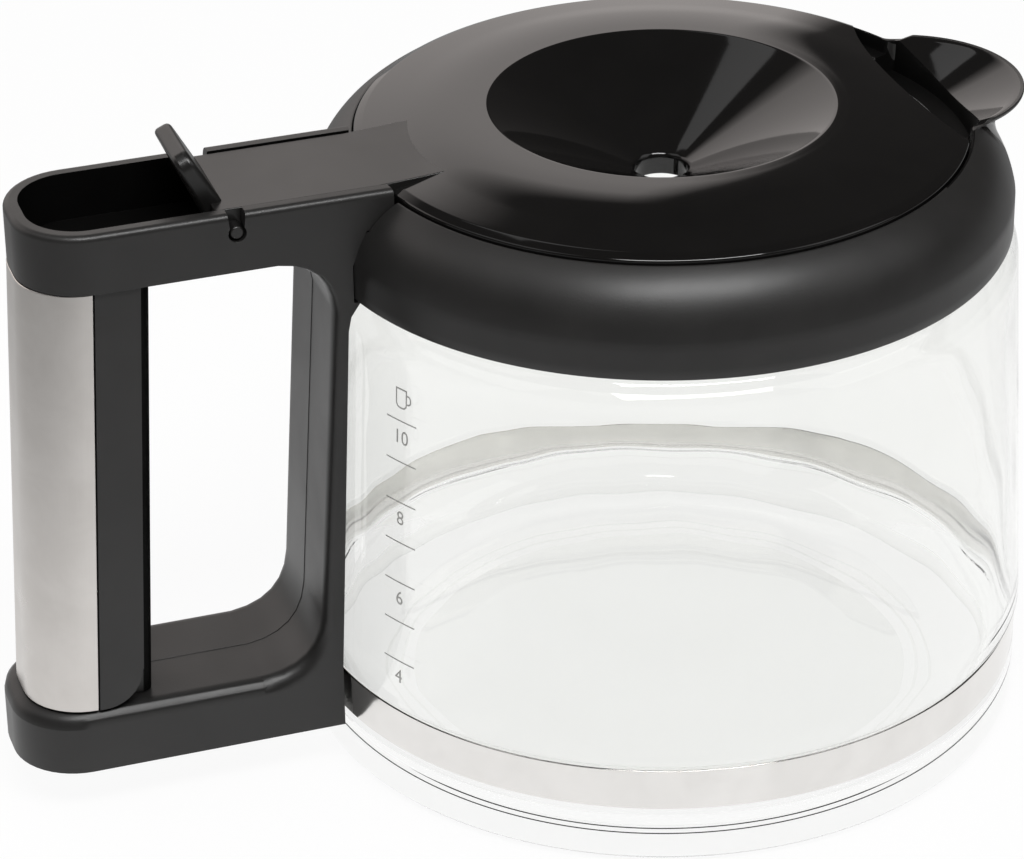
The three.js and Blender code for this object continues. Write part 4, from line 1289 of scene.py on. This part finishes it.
seam_tree, entry, result = new_group(
    "mould_seam",
    {"Geometry": SHAPE, "Seam Radius": 0.0001},
    {"Geometry": SHAPE},
    "GeometryNodeTree",
)
path = add_node(seam_tree, "GeometryNodeMeshToCurve")
section = add_node(seam_tree, "GeometryNodeCurvePrimitiveCircle", {"Resolution": 8})
swept = add_node(seam_tree, "GeometryNodeCurveToMesh", {"Fill Caps": True})
real = add_node(seam_tree, "GeometryNodeRealizeInstances")
coat = add_node(seam_tree, "GeometryNodeSetMaterial", {"Material": satin_black})
join_all(seam_tree, [
    (entry, "Geometry", path, "Mesh"),
    (entry, "Seam Radius", section, "Radius"),
    (path, "Curve", swept, "Curve"),
    (section, "Curve", swept, "Profile Curve"),
    (swept, "Mesh", real, "Geometry"),
    (real, "Geometry", coat, "Geometry"),
    (coat, "Geometry", result, "Geometry"),
])
seam_mesh = grown("mould_seam", seam_line, seam_tree, {"Seam Radius": SEAM_RADIUS * MM})
add_piece("handle_seam", cleaned(seam_mesh, 80), satin_black, "jug")

# %% [markdown]
# ## Floor, room and lamps
# The carafe stands in a white room with a bright, slightly leaning backdrop behind it and to the
# left, and soft boxes above, in front and at the sides. Black gloss shows that room as clear
# shapes, so the world is white only where the backdrop is, and dark elsewhere. The camera itself
# sees plain white. The floor lies a hair above the lowest face of the glass. The base is then in
# contact with it and stays bright, because a gap of air would reflect inside the glass.

# %% Floor
FLOOR_HALF = 6.0
FLOOR_RISE = 0.05 * MM
FLOOR_SHOWN = 0.94
FLOOR_THROUGH = 0.9
# Seen in reflections, the floor's glow fades from full strength to FLOOR_DIM between DIM_FROM and
# DIM_TO metres from the middle: a painted falloff of light.
FLOOR_DIM = 0.4
DIM_FROM = 0.14
DIM_TO = 0.35

floor_mesh = bpy.data.meshes.new("floor")
floor_sides = ((-1, -1), (1, -1), (1, 1), (-1, 1))
floor_corners = [(x * FLOOR_HALF, y * FLOOR_HALF, FLOOR_RISE) for x, y in floor_sides]
floor_mesh.from_pydata(floor_corners, [], [(0, 1, 2, 3)])
floor_finish = bpy.data.materials.new("floor_white")
floor_finish.use_nodes = True
tree = floor_finish.node_tree
paint = tree.nodes["Principled BSDF"]
paint.inputs["Base Color"].default_value = (0.9, 0.9, 0.9, 1)
paint.inputs["Roughness"].default_value = 0.9
paint.inputs["Specular IOR Level"].default_value = 0.0
glow = add_node(tree, "ShaderNodeEmission")
rays = add_node(tree, "ShaderNodeLightPath")
place = add_node(tree, "ShaderNodeTexCoord")
far = add_node(tree, "ShaderNodeVectorMath", operation="LENGTH")
dim = map_range(tree, DIM_FROM, DIM_TO, 1.0, FLOOR_DIM)
mirrored = add_node(tree, "ShaderNodeMath", operation="SUBTRACT", use_clamp=True)
strength = add_node(tree, "ShaderNodeMix", {"A": 1.0}, data_type="FLOAT")
seen = add_node(tree, "ShaderNodeMath", operation="ADD", use_clamp=True)
shown = add_node(tree, "ShaderNodeMath", {1: FLOOR_SHOWN}, operation="MULTIPLY")
amount = add_node(tree, "ShaderNodeMix", {"B": FLOOR_THROUGH}, data_type="FLOAT")
mix = add_node(tree, "ShaderNodeMixShader")
join_all(tree, [
    (place, "Object", far, 0),
    (far, "Value", dim, "Value"),
    (rays, "Is Glossy Ray", mirrored, 0),
    (rays, "Is Transmission Ray", mirrored, 1),
    (mirrored, 0, strength, "Factor"),
    (dim, "Result", strength, "B"),
    (strength, "Result", glow, "Strength"),
    (rays, "Is Camera Ray", seen, 0),
    (rays, "Is Glossy Ray", seen, 1),
    (seen, 0, shown, 0),
    (shown, 0, amount, "A"),
    (rays, "Is Transmission Ray", amount, "Factor"),
    (amount, "Result", mix, "Fac"),
    (paint, "BSDF", mix, 1),
    (glow, "Emission", mix, 2),
    (mix, "Shader", tree.nodes["Material Output"], "Surface"),
])
floor_mesh.materials.append(floor_finish)
floor = helper_object(floor_mesh)
print("floor ready")

# %% Room
BACKDROP_AZIMUTH = math.radians(-20)
BACKDROP_HALF = 45.9
BACKDROP_LEAN = 0.145
BACKDROP_TOP = 40
SIDE_BLUR = 1.2
TOP_BLUR = 4
BACKDROP_TONES = (0.9, 1.35)
THROUGH_TONES = (0.95, 0.65)
ROOM_DARK = 0.06
WARM_LIGHT = (1, 0.935, 0.905, 1)
PLAIN_LIGHT = (1, 1, 1, 1)

world = bpy.data.worlds.new("studio_room")
scene.world = world
world.use_nodes = True
tree = world.node_tree
place = add_node(tree, "ShaderNodeTexCoord")
lean = add_node(tree, "ShaderNodeMath", {1: BACKDROP_LEAN}, operation="MULTIPLY_ADD")
flat = add_node(tree, "ShaderNodeCombineXYZ")
unit = add_node(tree, "ShaderNodeVectorMath", operation="NORMALIZE")
facing = add_node(tree, "ShaderNodeVectorMath", operation="DOT_PRODUCT")
facing.inputs[1].default_value = (math.sin(BACKDROP_AZIMUTH), math.cos(BACKDROP_AZIMUTH), 0)
across = map_range(
    tree,
    math.cos(math.radians(BACKDROP_HALF + SIDE_BLUR)),
    math.cos(math.radians(BACKDROP_HALF - SIDE_BLUR)),
)
parts = add_node(tree, "ShaderNodeSeparateXYZ")
upward = map_range(
    tree,
    math.sin(math.radians(BACKDROP_TOP + TOP_BLUR)),
    math.sin(math.radians(BACKDROP_TOP - TOP_BLUR)),
)
panel = add_node(tree, "ShaderNodeMath", operation="MULTIPLY")
fade = map_range(tree, 0.1, 0.5, *BACKDROP_TONES)
tone = add_node(tree, "ShaderNodeMix", {"A": ROOM_DARK}, data_type="FLOAT")
rays = add_node(tree, "ShaderNodeLightPath")
above = map_range(tree, 0.2, 0.7, *THROUGH_TONES)
through = add_node(tree, "ShaderNodeMix", data_type="FLOAT")
level = add_node(tree, "ShaderNodeMix", {"B": 1.0}, data_type="FLOAT")
plain = add_node(tree, "ShaderNodeMath", operation="ADD", use_clamp=True)
warmth = add_node(tree, "ShaderNodeMix", data_type="RGBA")
warmth.inputs[6].default_value = WARM_LIGHT
warmth.inputs[7].default_value = PLAIN_LIGHT
background = tree.nodes["Background"]
print("room:", len(tree.nodes), "nodes")

# %% Room links
join_all(tree, [
    (parts, "Z", lean, 0),
    (parts, "X", lean, 2),
    (lean, 0, flat, "X"),
    (parts, "Y", flat, "Y"),
    (flat, "Vector", unit, 0),
    (unit, "Vector", facing, 0),
    (facing, "Value", across, "Value"),
    (place, "Generated", parts, "Vector"),
    (parts, "Z", upward, "Value"),
    (across, "Result", panel, 0),
    (upward, "Result", panel, 1),
    (parts, "Z", fade, "Value"),
    (panel, 0, tone, "Factor"),
    (fade, "Result", tone, "B"),
    (rays, "Is Camera Ray", level, "Factor"),
    (rays, "Is Transmission Ray", through, "Factor"),
    (tone, "Result", through, "A"),
    (parts, "Z", above, "Value"),
    (above, "Result", through, "B"),
    (through, "Result", level, "A"),
    (level, "Result", background, "Strength"),
    (rays, "Is Camera Ray", plain, 0),
    (rays, "Is Transmission Ray", plain, 1),
    (plain, 0, warmth, 0),
    (warmth, 2, background, "Color"),
])
print("room:", len(tree.links), "links")

# %% Lamps
LAMP_TARGET = (0, 0, 0.1)
SOFT_BOXES = [
    ("overhead", (-0.084, 0.685, 1.27), 0.42, 0.3, 0.3),
    ("front_top", (-0.06, -0.67, 1.25), 0.9, 0.35, 14.5),
    ("left_side", (-0.81, 0.0, 1.09), 0.8, 0.6, 1.1),
    ("right_wall", (0.8, -0.55, 0.95), 0.8, 0.8, 1.8),
]


def soft_box(name, place, target, width, height, power):
    light = bpy.data.lights.new(name, "AREA")
    light.shape = "RECTANGLE"
    light.size = width
    light.size_y = height
    light.energy = power
    lamp = bpy.data.objects.new(name, light)
    lamp.location = place
    lamp.rotation_euler = (Vector(target) - Vector(place)).to_track_quat("-Z", "Y").to_euler()
    scene.collection.objects.link(lamp)
    return lamp


for name, place, width, height, power in SOFT_BOXES:
    soft_box(name, place, LAMP_TARGET, width, height, power)
ceiling = soft_box("ceiling", (0.0, 0.0, 1.9), (0, 0, 0), 2.0, 2.0, 7.0)
ceiling.visible_glossy = False
print("lamps ready")
